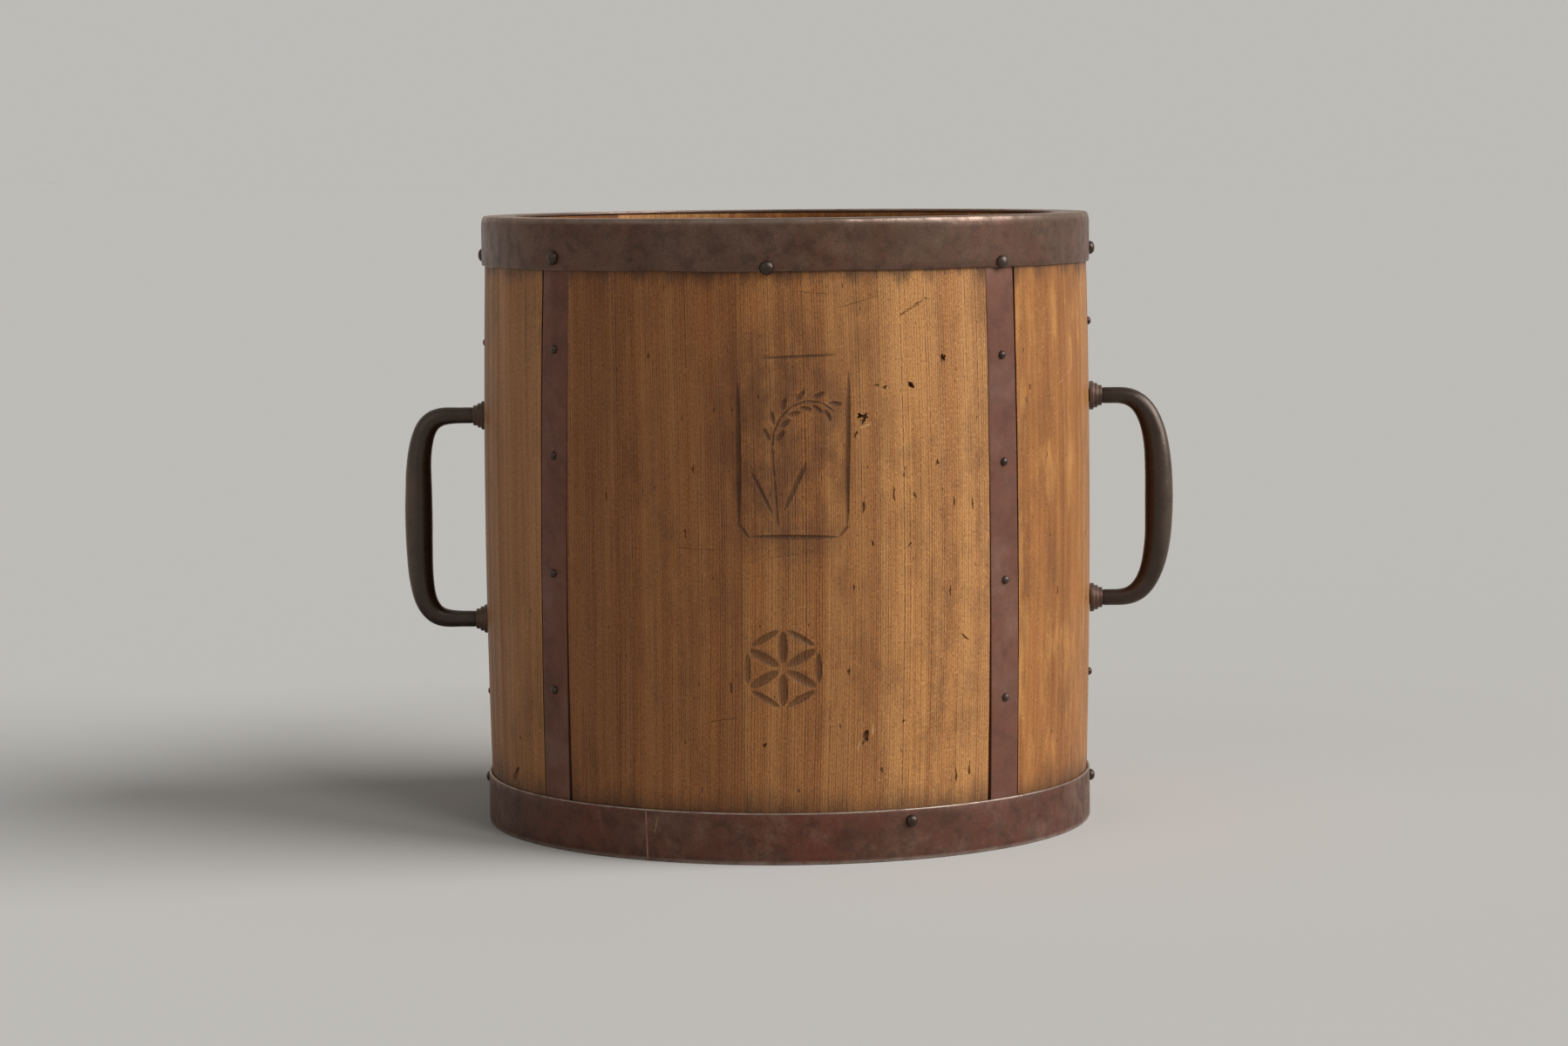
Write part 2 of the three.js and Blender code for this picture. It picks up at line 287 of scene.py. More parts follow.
def made_object(bm, name, material, sharp=SHARP):
    """The finished mesh as an object at the origin."""
    mesh = bpy.data.meshes.new(name)
    bm.to_mesh(mesh)
    bm.free()
    mesh.materials.append(material)
    finish_mesh(mesh, sharp)
    return linked(name, mesh)


def dressed(piece, node):
    """The piece stands for a node and moves with it; the node's own part is hidden."""
    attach(piece, "root")
    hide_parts(node)


def carve(piece, cutter):
    """Cuts one object out of another; the cut faces keep the cutter's material."""
    cut = piece.modifiers.new("cut", "BOOLEAN")
    cut.operation = "DIFFERENCE"
    cut.solver = "MANIFOLD"
    cut.material_mode = "TRANSFER"
    cut.object = cutter
    depsgraph = bpy.context.evaluated_depsgraph_get()
    whole = piece.evaluated_get(depsgraph)
    mesh = bpy.data.meshes.new_from_object(whole, preserve_all_data_layers=True, depsgraph=depsgraph)
    piece.modifiers.clear()
    piece.data = mesh
    mesh.name = piece.name
    finish_mesh(mesh, SHARP)
    bpy.data.objects.remove(cutter)


def stroke(bm, cut, surface):
    """Adds a lens-shaped cut, bent over a surface, to a cutter; a tilt leans it to the right."""
    lens = Matrix.Diagonal((cut.width / 2 * LENS_SPREAD, cut.length / 2 * LENS_SPREAD, 2 * cut.depth, 1))
    laid = Matrix.Translation((0, 0, cut.depth)) @ Matrix.Rotation(-cut.tilt, 4, "Z") @ lens
    if cut.rough:
        verts = ops.create_icosphere(bm, subdivisions=3, radius=1)["verts"]
        shift = Vector((cut.angle * RAGGED_APART[0], cut.height * RAGGED_APART[1], 0))
        for vert in verts:
            vert.co *= 1 + cut.rough * noise.noise(vert.co * RAGGED_SIZE + shift)
    else:
        upright = Matrix.Rotation(pi / 2, 4, "X")
        made = ops.create_uvsphere(bm, u_segments=16, v_segments=18, radius=1, matrix=upright)
        verts = made["verts"]
    for vert in verts:
        x, y, out = laid @ vert.co
        z = cut.height + y
        vert.co = on_tub(cut.angle + x / WOOD_RADIUS, surface(z) + out, z)


# Shader work


def tone(red, green, blue):
    """A colour given as the eye reads it, 0 to 255, for a shader socket."""
    linear = [((c / 255 + 0.055) / 1.055) ** 2.4 for c in (red, green, blue)]
    return (*linear, 1.0)


def fed(node, inputs):
    """The node with its inputs linked or set."""
    for key, value in inputs.items():
        if isinstance(value, bpy.types.NodeSocket):
            node.id_data.links.new(value, node.inputs[key])
        else:
            node.inputs[key].default_value = value
    return node


def placed(tree, kind, **settings):
    """A new node with its settings made."""
    node = tree.nodes.new("ShaderNode" + kind)
    for name, value in settings.items():
        setattr(node, name, value)
    return node


def put(kind, inputs, **settings):
    """A new node fed with sockets and values, in the tree of its first socket."""
    tree = next(value.id_data for value in inputs.values() if isinstance(value, bpy.types.NodeSocket))
    return fed(placed(tree, kind, **settings), inputs)


def calc(operation, a, b=0.0, c=0.0):
    return put("Math", {0: a, 1: b, 2: c}, operation=operation).outputs[0]


def times(a, b):
    return calc("MULTIPLY", a, b)


def stretched(vector, x, y, z=1.0):
    return put("VectorMath", {0: vector, 1: (x, y, z)}, operation="MULTIPLY").outputs[0]


def cloud(vector, scale=1.0, detail=3.0, roughness=0.55):
    inputs = {"Vector": vector, "Scale": scale, "Detail": detail, "Roughness": roughness}
    return put("TexNoise", inputs).outputs["Fac"]


def streaks(vector, across, along, detail=2.0, roughness=0.55):
    """Noise drawn out over the grain, by its changes in a metre across the grain and along it."""
    return cloud(stretched(vector, across, along), 1.0, detail, roughness)


def between(value, low, high, least=0.0, most=1.0):
    """The value's smooth rise from least at low to most at high."""
    inputs = {"Value": value, "From Min": low, "From Max": high, "To Min": least, "To Max": most}
    return put("MapRange", inputs, interpolation_type="SMOOTHSTEP").outputs["Result"]


def mixed(share, a, b, how="MIX"):
    inputs = {0: share, 6: a, 7: b}
    node = put("Mix", inputs, data_type="RGBA", blend_type=how, clamp_factor=True)
    return node.outputs[2]


def layered(colour, layers):
    """A colour under layers, each with its share and the colour that it brings."""
    for share, over in layers:
        colour = mixed(share, colour, over)
    return colour


def axes(vector):
    return put("SeparateXYZ", {0: vector}).outputs


def new_group(name, inputs, outputs):
    """A shader group: its tree, its inputs, and a function that wires an output."""
    tree = bpy.data.node_groups.new(name, "ShaderNodeTree")
    tree.interface.new_socket("Vector", in_out="INPUT", socket_type="NodeSocketVector")
    for label in inputs:
        tree.interface.new_socket(label, in_out="INPUT", socket_type="NodeSocketFloat")
    for label in outputs:
        tree.interface.new_socket(label, in_out="OUTPUT", socket_type="NodeSocketFloat")
    source = tree.nodes.new("NodeGroupInput")
    sink = tree.nodes.new("NodeGroupOutput")
    return tree, source.outputs, lambda label, value: tree.links.new(value, sink.inputs[label])


def use_group(group, inputs):
    """The outputs of a shader group placed in a material."""
    return put("Group", inputs, node_tree=group).outputs


def new_material(name):
    """A material and its shader."""
    material = bpy.data.materials.new(name)
    material.use_nodes = True
    return material, material.node_tree.nodes["Principled BSDF"]


def bumped(height, distance):
    inputs = {"Height": height, "Distance": distance, "Strength": 1.0}
    return put("Bump", inputs).outputs["Normal"]


def object_coords(material):
    return placed(material.node_tree, "TexCoord").outputs["Object"]


def attribute(material, name):
    return placed(material.node_tree, "Attribute", attribute_name=name).outputs["Fac"]


RING_CROWDING = 4.2 * MM
LONG_FIBRES = 0.35
SCRATCH_SPAN = 0.05
# Fine scratches: their tilt in degrees, and how high the noise has to rise for one
SCRATCH_TILTS = ((6, 0.745), (-34, 0.76), (41, 0.755), (-72, 0.76))


def growth_group():
    """Growth rings sawn lengthwise; X runs across the grain and Y along it, in metres."""
    tree, given, give = new_group("growth_rings", ["Pitch", "Wander"], ["Ring", "Fibre", "Streak", "Band"])
    vector = given["Vector"]
    sway = calc("SUBTRACT", streaks(vector, 22, 3.2), 0.5)
    crowd = calc("SUBTRACT", streaks(vector, 130, 0.4), 0.5)
    across = calc("MULTIPLY_ADD", sway, given["Wander"], axes(vector)[0])
    across = calc("MULTIPLY_ADD", crowd, RING_CROWDING, across)
    count = calc("DIVIDE", across, given["Pitch"])
    phase = calc("FRACT", count)
    late = between(phase, 0.15, 0.7, 0.0, 0.4)
    core = between(phase, 0.5, 0.74, 0.0, 0.6)
    line = times(calc("ADD", late, core), between(phase, 0.86, 1.0, 1.0, 0.0))
    year = put("TexWhiteNoise", {"W": calc("FLOOR", count)}, noise_dimensions="1D")
    weight = between(year.outputs["Value"], 0.0, 1.0, 0.5, 1.0)
    fade = between(streaks(vector, 60, 9), 0.3, 0.62, 0.55, 1.0)
    gaps = between(streaks(vector, 700, 300), 0.34, 0.56, 0.35, 1.0)
    bundle = between(streaks(vector, 300, 1.6), 0.36, 0.62, 0.5, 1.0)
    strength = times(times(weight, bundle), times(fade, gaps))
    give("Ring", times(line, strength))
    short_fibre = times(streaks(vector, 1700, 720, roughness=0.6), 1 - LONG_FIBRES)
    give("Fibre", calc("MULTIPLY_ADD", streaks(vector, 2300, 22), LONG_FIBRES, short_fibre))
    give("Streak", streaks(vector, 150, 2.2, 3.0, 0.6))
    give("Band", streaks(vector, 34, 1.1))
    return tree


def marks_group():
    """What use leaves on wood: stains, fine scratches, small dark pits and pale flecks."""
    tree, given, give = new_group("marks_of_use", [], ["Stain", "Patch", "Scratch", "Pit", "Fleck"])
    vector = given["Vector"]
    broad = between(streaks(vector, 15, 9, 4.0, 0.6), 0.36, 0.62)
    local = between(streaks(vector, 70, 34, 6.0, 0.76), 0.4, 0.64)
    give("Stain", times(broad, local))
    give("Patch", between(streaks(vector, 85, 17, 5.0, 0.66), 0.5, 0.68))
    scratches = 0.0
    for tilt, rare in SCRATCH_TILTS:
        inputs = {"Vector": vector, "Angle": radians(tilt)}
        turned = put("VectorRotate", inputs, rotation_type="Z_AXIS").outputs[0]
        line = between(streaks(turned, 42, 1500, 1.0), rare, rare + SCRATCH_SPAN)
        scratches = calc("MAXIMUM", scratches, line)
    give("Scratch", scratches)
    give("Pit", between(streaks(vector, 560, 170, 1.0), 0.735, 0.79))
    region = between(streaks(vector, 40, 22), 0.5, 0.66)
    flecks = between(streaks(vector, 800, 300), 0.6, 0.7)
    give("Fleck", times(region, flecks))
    return tree


def rust_group():
    """Old iron: broad rust, mottle, pale bloom, a fine speckle and grit."""
    tree, given, give = new_group("old_iron", ["Grain"], ["Rust", "Mottle", "Bloom", "Speck", "Grit"])
    inputs = {0: given["Vector"], "Scale": given["Grain"]}
    vector = put("VectorMath", inputs, operation="SCALE").outputs[0]
    give("Rust", between(cloud(vector, 24.0, 6.0, 0.68), 0.38, 0.66))
    give("Mottle", cloud(vector, 120.0, 6.0, 0.72))
    give("Bloom", between(cloud(vector, 42.0, 7.0, 0.74), 0.5, 0.7))
    fine = between(cloud(vector, 3300.0, 2.0, 0.5), 0.48, 0.7)
    give("Speck", times(fine, between(cloud(vector, 70.0, 4.0, 0.65), 0.38, 0.66)))
    give("Grit", cloud(vector, 1100.0, 4.0, 0.6))
    return tree


GROWTH = growth_group()
MARKS = marks_group()
RUST = rust_group()

# Looks of the wood
PATCH_TONE = tone(205, 148, 80)
BAND_TONE = tone(140, 86, 50)
FIBRE_PALE = tone(228, 178, 120)
FIBRE_DARK = tone(108, 65, 38)
RING_TONE = tone(82, 47, 29)
SHADE_TONE = tone(150, 114, 96)
STAIN_TONE = tone(82, 48, 31)
HANDLED_TONE = tone(84, 50, 33)
# Iron stain by the hoops, and under the rim hoop also a painted shadow
HOOP_STAIN_AND_SHADE_TONE = tone(52, 33, 25)
SCRATCH_TONE = tone(224, 182, 132)
FLECK_TONE = tone(226, 178, 118)
PIT_TONE = tone(44, 26, 17)
SOIL_TONE = tone(40, 24, 17)
TORN_TONE = tone(232, 190, 136)
BOARD_PALE = tone(172, 122, 76)
BOARD_DEEP = tone(146, 98, 58)
BOARD_RING = tone(104, 62, 36)
BOARD_STAIN = tone(70, 44, 30)
BOARD_SCRATCH = tone(214, 172, 122)
BOARD_GROWTH = {"Pitch": 5.2 * MM, "Wander": 20 * MM}
STAVE_GLOSS = 0.25
STAVE_RELIEF = 0.3 * MM
BOARD_RELIEF = 0.2 * MM
SEEP = 34 * MM
# The dirt round the border: its middle to the right and up, half its width and height, its start in depth
DIRT_ASIDE = 4 * MM
DIRT_UP = 208 * MM
DIRT_WIDE = 42 * MM
DIRT_TALL = 66 * MM
DIRT_FRONT = (-120 * MM, -100 * MM)


def carving_dirt(place, grain):
    """A mask of the dark that hands leave round the carved border."""
    coords = axes(place)
    aside = calc("DIVIDE", calc("SUBTRACT", coords[0], DIRT_ASIDE), DIRT_WIDE)
    above = calc("DIVIDE", calc("SUBTRACT", coords[2], DIRT_UP), DIRT_TALL)
    squared = calc("MULTIPLY_ADD", aside, aside, times(above, above))
    near = between(squared, 0.25, 1.3, 0.62, 0.0)
    front = between(coords[1], *DIRT_FRONT, 1.0, 0.0)
    patchy = between(streaks(grain, 75, 30, 5.0, 0.65), 0.3, 0.62)
    return times(times(near, front), patchy)


def stave_wood(name, look):
    """Old conifer with its grain upright, stained beside the hoops and with painted shade under the rim
    hoop; tone darkens a stave, in front partly as painted shade.
    """
    material, shader = new_material(name)
    grain = placed(material.node_tree, "UVMap", uv_map="grain").outputs[0]
    growth = use_group(GROWTH, {"Vector": grain, "Pitch": look.pitch, "Wander": look.wander})
    marks = use_group(MARKS, {"Vector": grain})
    place = object_coords(material)
    height = axes(place)[2]
    # Darker wood by the hoops: a ragged iron stain, and just under the rim hoop also a painted shadow
    ragged = streaks(grain, 95, 16, 5.0, 0.7)
    drip = calc("MULTIPLY_ADD", ragged, SEEP, height)
    below_rim_stain_and_shade = between(drip, RIM_SKIRT + 9 * MM, RIM_SKIRT + 20 * MM)
    rise = calc("MULTIPLY_ADD", ragged, -SEEP, height)
    above_foot = between(rise, FOOT_TOP - 22 * MM, FOOT_TOP - 2 * MM, 1.0, 0.0)
    level = put("VectorMath", {0: stretched(place, 1, 1, 0)}, operation="LENGTH")
    outside = between(level.outputs["Value"], WOOD_RADIUS - 8 * MM, WOOD_RADIUS - 4 * MM)
    hoop_stain_and_shade = times(calc("MAXIMUM", below_rim_stain_and_shade, above_foot), times(outside, 0.66))
    colour = mixed(between(growth["Streak"], 0.3, 0.7), tone(*look.pale), tone(*look.deep))
    colour = layered(colour, [
        (times(marks["Patch"], look.patch), PATCH_TONE),
        (between(growth["Band"], 0.42, 0.68, 0.0, 0.35), BAND_TONE),
        (between(growth["Fibre"], 0.51, 0.64, 0.0, look.fibre), FIBRE_PALE),
        (between(growth["Fibre"], 0.49, 0.35, 0.0, look.fibre), FIBRE_DARK),
        (times(growth["Ring"], look.ring), RING_TONE),
    ])
    # The tone attribute darkens each stave; on the staves in front it is partly painted shade
    colour = mixed(attribute(material, "tone"), colour, SHADE_TONE, "MULTIPLY")
    colour = layered(colour, [
        (times(marks["Stain"], 0.36), STAIN_TONE),
        (times(carving_dirt(place, grain), outside), HANDLED_TONE),
        (hoop_stain_and_shade, HOOP_STAIN_AND_SHADE_TONE),
        (times(marks["Scratch"], 0.18), SCRATCH_TONE),
        (times(marks["Fleck"], look.fleck), FLECK_TONE),
        (times(marks["Pit"], 0.8), PIT_TONE),
        (attribute(material, "soil"), SOIL_TONE),
        (attribute(material, "torn"), TORN_TONE),
    ])
    rough = between(growth["Streak"], 0.25, 0.75, 0.42, 0.58)
    relief = calc("MULTIPLY_ADD", growth["Ring"], -0.6, growth["Fibre"])
    relief = calc("MULTIPLY_ADD", marks["Scratch"], -0.4, relief)
    fed(shader, {
        "Base Color": colour,
        "Specular IOR Level": STAVE_GLOSS,
        "Roughness": calc("MULTIPLY_ADD", marks["Scratch"], 0.1, rough),
        "Normal": bumped(calc("SUBTRACT", relief, marks["Pit"]), STAVE_RELIEF),
    })
    return material


def board_wood():
    """The bottom's boards, their grain along X."""
    material, shader = new_material("board_wood")
    inputs = {"Vector": object_coords(material), "Rotation": (0, 0, radians(90))}
    turned = put("Mapping", inputs).outputs[0]
    growth = use_group(GROWTH, {"Vector": turned, **BOARD_GROWTH})
    marks = use_group(MARKS, {"Vector": turned})
    colour = mixed(between(growth["Streak"], 0.3, 0.7), BOARD_PALE, BOARD_DEEP)
    colour = layered(colour, [
        (times(growth["Ring"], 0.6), BOARD_RING),
        (times(marks["Stain"], 0.5), BOARD_STAIN),
        (times(marks["Scratch"], 0.4), BOARD_SCRATCH),
    ])
    fed(shader, {
        "Base Color": colour,
        "Roughness": between(growth["Fibre"], 0.3, 0.7, 0.52, 0.68),
        "Normal": bumped(calc("ADD", growth["Ring"], growth["Fibre"]), BOARD_RELIEF),
    })
    return material


# Looks of the iron
IRON_TINT = (1.0, 0.8, 0.66, 1.0)
WORN_AND_HIGHLIGHT_BRIGHT = 0.7


def broken_up(coords, mask):
    """A mask of wear broken up, so that it isn't an even line; on the rim, foot and handles it also carries
    a painted highlight.
    """
    return times(mask, between(cloud(coords, 90.0, 4.0, 0.7), 0.32, 0.6, 0.35, 1.0))


def rim_wear_and_highlight(coords):
    """The rim is worn on its shoulder and at its lower edge; the paler shoulder band is also a painted
    highlight.
    """
    height = axes(coords)[2]
    shoulder = between(height, HEIGHT - 3.4 * MM, HEIGHT - 0.8 * MM)
    skirt = between(height, RIM_SKIRT + 0.2 * MM, RIM_SKIRT + 1.2 * MM, 0.5, 0.0)
    return broken_up(coords, calc("MAXIMUM", shoulder, skirt))


def foot_wear_and_highlight(coords):
    """The foot is worn at its upper edge and on the ground; the bright upper edge is also a painted
    highlight.
    """
    height = axes(coords)[2]
    top = between(height, FOOT_TOP - 1.0 * MM, FOOT_TOP - 0.2 * MM)
    ground = between(height, 0.6 * MM, 2.5 * MM, 0.6, 0.0)
    return broken_up(coords, calc("MAXIMUM", top, ground))


def handle_wear_and_highlight(coords):
    """The handles are worn outside on their grips; this lighter band is also a painted highlight."""
    reach = calc("ABSOLUTE", axes(coords)[0])
    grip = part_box("handle_right")[1][0]
    return broken_up(coords, between(reach, grip - 9 * MM, grip - 1 * MM, 0.0, 0.5))


def strap_wear(coords):
    """Faint wear in patches."""
    return times(broken_up(coords, between(cloud(coords, 30.0), 0.5, 0.7)), 0.35)


def old_iron(name, look, wear):
    """Brown old iron; wear gives the mask of its worn places, which on the rim, foot and handles is also a
    painted highlight.
    """
    material, shader = new_material(name)
    coords = object_coords(material)
    old = use_group(RUST, {"Vector": coords, "Grain": look.grain})
    mask = wear(coords)
    colour = mixed(old["Rust"], tone(*look.base), tone(*look.rust))
    colour = layered(colour, [
        (times(old["Bloom"], look.bloom), tone(*look.dust)),
        (between(old["Mottle"], 0.44, 0.64, 0.0, look.mottle), tone(*look.dark)),
        (times(old["Speck"], look.speck), tone(*look.dust)),
        # Lighter where worn; on the rim's shoulder, the foot's upper edge and the handles' grips this is
        # also a painted highlight
        (times(mask, WORN_AND_HIGHLIGHT_BRIGHT), tone(*look.shine)),
    ])
    rough = between(old["Mottle"], 0.3, 0.7, look.rough - 0.06, look.rough + 0.1)
    relief = calc("MULTIPLY_ADD", old["Mottle"], 1.3, old["Grit"])
    fed(shader, {
        "Base Color": colour,
        "Specular IOR Level": look.gloss,
        "Specular Tint": IRON_TINT,
        "Roughness": calc("MULTIPLY_ADD", mask, -0.1, rough),
        "Metallic": between(mask, 0.0, 1.0, 0.2, 0.75),
        "Normal": bumped(relief, look.relief),
    })
    return material


QUARTER_WOOD = stave_wood("quarter_wood", Wood(
    pale=(218, 160, 95), deep=(190, 128, 68), pitch=1.28 * MM, wander=3.5 * MM, ring=0.82, fibre=0.62,
    fleck=0.12, patch=0.0,
))
FLAT_WOOD = stave_wood("flat_wood", Wood(
    pale=(170, 111, 54), deep=(138, 84, 39), pitch=7.0 * MM, wander=30 * MM, ring=0.14, fibre=0.26,
    fleck=0.25, patch=0.6,
))
BOARD_WOOD = board_wood()
RIM_IRON = old_iron("rim_iron", Iron(
    base=(85, 62, 51), rust=(90, 57, 45), dark=(50, 34, 27), dust=(150, 125, 109), shine=(138, 122, 111),
    rough=0.36, gloss=0.4, grain=1.0, mottle=0.6, bloom=0.1, speck=0.5, relief=0.07 * MM,
), rim_wear_and_highlight)
FOOT_IRON = old_iron("foot_iron", Iron(
    base=(84, 53, 42), rust=(92, 48, 37), dark=(46, 30, 24), dust=(140, 113, 96), shine=(182, 170, 159),
    rough=0.42, gloss=0.4, grain=1.0, mottle=0.55, bloom=0.28, speck=0.45, relief=0.08 * MM,
), foot_wear_and_highlight)
STRAP_IRON = old_iron("strap_iron", Iron(
    base=(107, 67, 54), rust=(98, 59, 48), dark=(80, 51, 42), dust=(150, 118, 102), shine=(146, 118, 104),
    rough=0.5, gloss=0.35, grain=0.8, mottle=0.5, bloom=0.22, speck=0.32, relief=0.05 * MM,
), strap_wear)
HANDLE_IRON = old_iron("handle_iron", Iron(
    base=(30, 20, 16), rust=(42, 27, 21), dark=(18, 13, 11), dust=(84, 70, 61), shine=(132, 114, 102),
    rough=0.27, gloss=0.8, grain=1.3, mottle=0.6, bloom=0.06, speck=0.3, relief=0.08 * MM,
), handle_wear_and_highlight)
WASHER_IRON = old_iron("washer_iron", Iron(
    base=(80, 60, 51), rust=(88, 60, 49), dark=(44, 32, 27), dust=(156, 134, 120), shine=(160, 138, 124),
    rough=0.4, gloss=0.5, grain=1.3, mottle=0.7, bloom=0.2, speck=0.4, relief=0.08 * MM,
), strap_wear)
SEAM_IRON = old_iron("seam_iron", Iron(
    base=(158, 118, 92), rust=(140, 92, 68), dark=(72, 46, 36), dust=(186, 156, 134), shine=(186, 156, 134),
    rough=0.42, gloss=0.4, grain=1.3, mottle=0.5, bloom=0.2, speck=0.4, relief=0.05 * MM,
), strap_wear)
NAIL_IRON = old_iron("nail_iron", Iron(
    base=(32, 22, 18), rust=(40, 26, 21), dark=(20, 14, 12), dust=(96, 80, 70), shine=(120, 104, 94),
    rough=0.3, gloss=0.7, grain=2.5, mottle=0.5, bloom=0.1, speck=0.3, relief=0.03 * MM,
), strap_wear)


# Cuts in the wall: chip carving, nicks and what the irons need

CARVED_ANGLE = radians(3.4)
CARVED_HEIGHT = 207 * MM
CARVED_SOIL = 0.5
# The border and two leaves: place to the right and up, length, width, depth in millimetres, and tilt
BORDER = [
    (26.8, -2, 82, 2.8, 1.1, 1), (-26.8, -4, 74, 3.0, 1.1, 0), (1, -44, 44, 2.4, 0.8, 91),
    (3, 44.5, 40, 1.8, 0.5, 88), (-24.3, -41, 9, 1.8, 0.5, -36), (24.4, -41.5, 8, 1.8, 0.5, 40),
    (-15.5, -22, 24, 2.4, 0.55, -26), (1, -19, 28, 2.8, 0.55, 25),
]
# The ear's stalk in steps, in millimetres and degrees: straight for a few, then drooping ever more
EAR_FOOT = (-7.5, -38.0)
EAR_STEP = 7.6
EAR_STEPS = 11
EAR_STRAIGHT = 4
EAR_LEAN = -4
EAR_DROOP = 128
EAR_DROOP_POWER = 1.4
STALK_LAP = 1.3
STALK_CUT = (1.4, 0.45)
GRAIN_ASIDE = 3.4
GRAIN_AHEAD = 2.5
GRAIN_CUT = (6.8, 2.7, 0.7)
GRAIN_TILT = 30

ROSETTE_ANGLE = radians(1.3)
ROSETTE_HEIGHT = 98 * MM
ROSETTE_RADIUS = 20.0
ROSETTE_DEPTH = 0.7
PETALS = 6
# Petals and the chips between their tips: reach and length as shares of the radius, width, turn, tilt
ROSETTE_CHIPS = ((0.53, 0.84, 5.2, 0, 0), (0.87, 0.8, 3.8, TAU / (2 * PETALS), 90))

# Each kind of nick: length, width, depth in millimetres, and dirt, below nothing where it is torn pale
NICK_KINDS = {
    "hole": (4.6, 2.8, 2.0, 0.7),
    "pit": (2.8, 1.5, 0.7, 0.5),
    "nick": (6.2, 1.1, 0.7, 0.5),
    "gouge": (9.0, 3.0, 1.0, 0.45),
    "tear": (11.0, 4.4, 1.5, 0.5),
    "chip": (4.6, 1.3, 0.45, 0.3),
    "scratch": (22.0, 0.5, 0.2, 0.35),
    "graze": (11.0, 0.45, 0.2, -0.35),
    "dab": (5.0, 1.4, 0.3, -0.3),
}
NICK_RAGGED = 0.8
NICK_SIZES = (0.75, 1.15)
NICK_SEED = 11
# Nicks in front: kind, angle in degrees, height in millimetres and tilt in degrees
FRONT_NICKS = [
    ("hole", 31.5, 249, 15), ("hole", 25, 237, -30), ("pit", 20, 236, 60), ("pit", 18.5, 237, -50),
    ("pit", 14.5, 213, 0), ("hole", 15.3, 222, 74), ("hole", 16.3, 221.2, 16), ("chip", 15.7, 218.8, -34),
    ("dab", 16.6, 217.6, 64), ("nick", 23.5, 193, 5), ("pit", 30, 198, 20), ("nick", 21.5, 182, 0),
    ("pit", 25.5, 182, -20), ("nick", 33.5, 178, 4), ("nick", 37.5, 176, -3), ("pit", 17.5, 159, 0),
    ("pit", 24.5, 158, 40), ("pit", 14, 138, 0), ("pit", 13, 96, 10), ("nick", -8, 88, 0),
    ("pit", -2, 60, 0), ("nick", -14.5, 197, 3), ("nick", -16, 164, -4), ("pit", -23, 252, 0),
    ("nick", -32, 182, 0), ("tear", 16, 63, 12), ("dab", 17.4, 66, 10), ("dab", 14.9, 59, 14),
    ("scratch", 15.5, 278, 75), ("scratch", 2.5, 154, 84), ("scratch", -14, 157, 92),
    ("scratch", -10, 72, 80), ("scratch", 8.1, 282.4, 96), ("graze", 36.3, 239, 84),
    ("graze", 62.5, 238, 50), ("dab", 66.3, 275, 6), ("graze", 58.5, 272, 66), ("graze", 12.9, 256.7, 80),
    ("pit", 52.6, 232, 5), ("graze", 33, 262, 20), ("graze", 28.5, 226, -12), ("graze", 55, 205, 8),
    ("nick", 15.9, 178, 4), ("nick", 35.7, 110, -51), ("nick", 32.6, 134, 3), ("graze", 27.8, 73, 80),
    ("pit", 23.2, 70, 30), ("graze", 34, 79, 65), ("nick", 36.9, 43, 2), ("nick", 34, 40, -4),
    ("pit", 19, 46, 0),
]
# Long torn marks: the kind of short mark in them, angle, height, tilt, length in millimetres and how many
TORN_MARKS = [("chip", 25.6, 275, 60, 14, 7), ("graze", 67, 237.7, 64, 17, 3)]
TORN_LEAN = 9
# Nicks scattered over the sides and the rear
STRAY_NICKS = 60
STRAY_KINDS = ("pit", "pit", "pit", "nick", "nick", "nick", "gouge", "graze", "scratch")
STRAY_ANGLES = (58, 302)
STRAY_HEIGHTS = (34, 286)
STRAY_LEAN = 24
STRAY_ROOM = 14 * MM

GROOVE_GAP = 0.6 * MM
GROOVE_LEAN = 0.5 * MM
GROOVE_OPEN = 1.7 * MM
GROOVE_CHIPS = 0.3 * MM
GROOVE_CHIP_SIZE = 16 * MM
GROOVE_ROWS = 50
GROOVE_PAST = 10 * MM
SINK_PAST = 1 * MM


def carved_cut(angle, height, x, y, length, width, depth, tilt, rough=0.0, soil=CARVED_SOIL):
    """A cut on a carving laid out flat in millimetres, X to the right and Y up."""
    return Cut(
        angle + x * MM / WOOD_RADIUS, height + y * MM, length * MM, width * MM, depth * MM,
        radians(tilt), rough, soil,
    )


def rice_ear():
    """A worn border with a drooping ear of rice inside."""
    def at(*numbers):
        return carved_cut(CARVED_ANGLE, CARVED_HEIGHT, *numbers)

    cuts = [at(*numbers) for numbers in BORDER]
    x, y = EAR_FOOT
    for step in range(EAR_STEPS):
        bent = max(0.0, (step - EAR_STRAIGHT) / (EAR_STEPS - 1 - EAR_STRAIGHT))
        tilt = EAR_LEAN + EAR_DROOP * bent ** EAR_DROOP_POWER
        across = cos(radians(tilt))
        along = sin(radians(tilt))
        x += EAR_STEP / 2 * along
        y += EAR_STEP / 2 * across
        cuts.append(at(x, y, EAR_STEP * STALK_LAP, *STALK_CUT, tilt))
        for side in (-1, 1) if bent > 0 else ():
            grain_x = x + side * GRAIN_ASIDE * across + GRAIN_AHEAD * along
            grain_y = y - side * GRAIN_ASIDE * along + GRAIN_AHEAD * across
            cuts.append(at(grain_x, grain_y, *GRAIN_CUT, tilt + side * GRAIN_TILT))
        x += EAR_STEP / 2 * along
        y += EAR_STEP / 2 * across
    return cuts


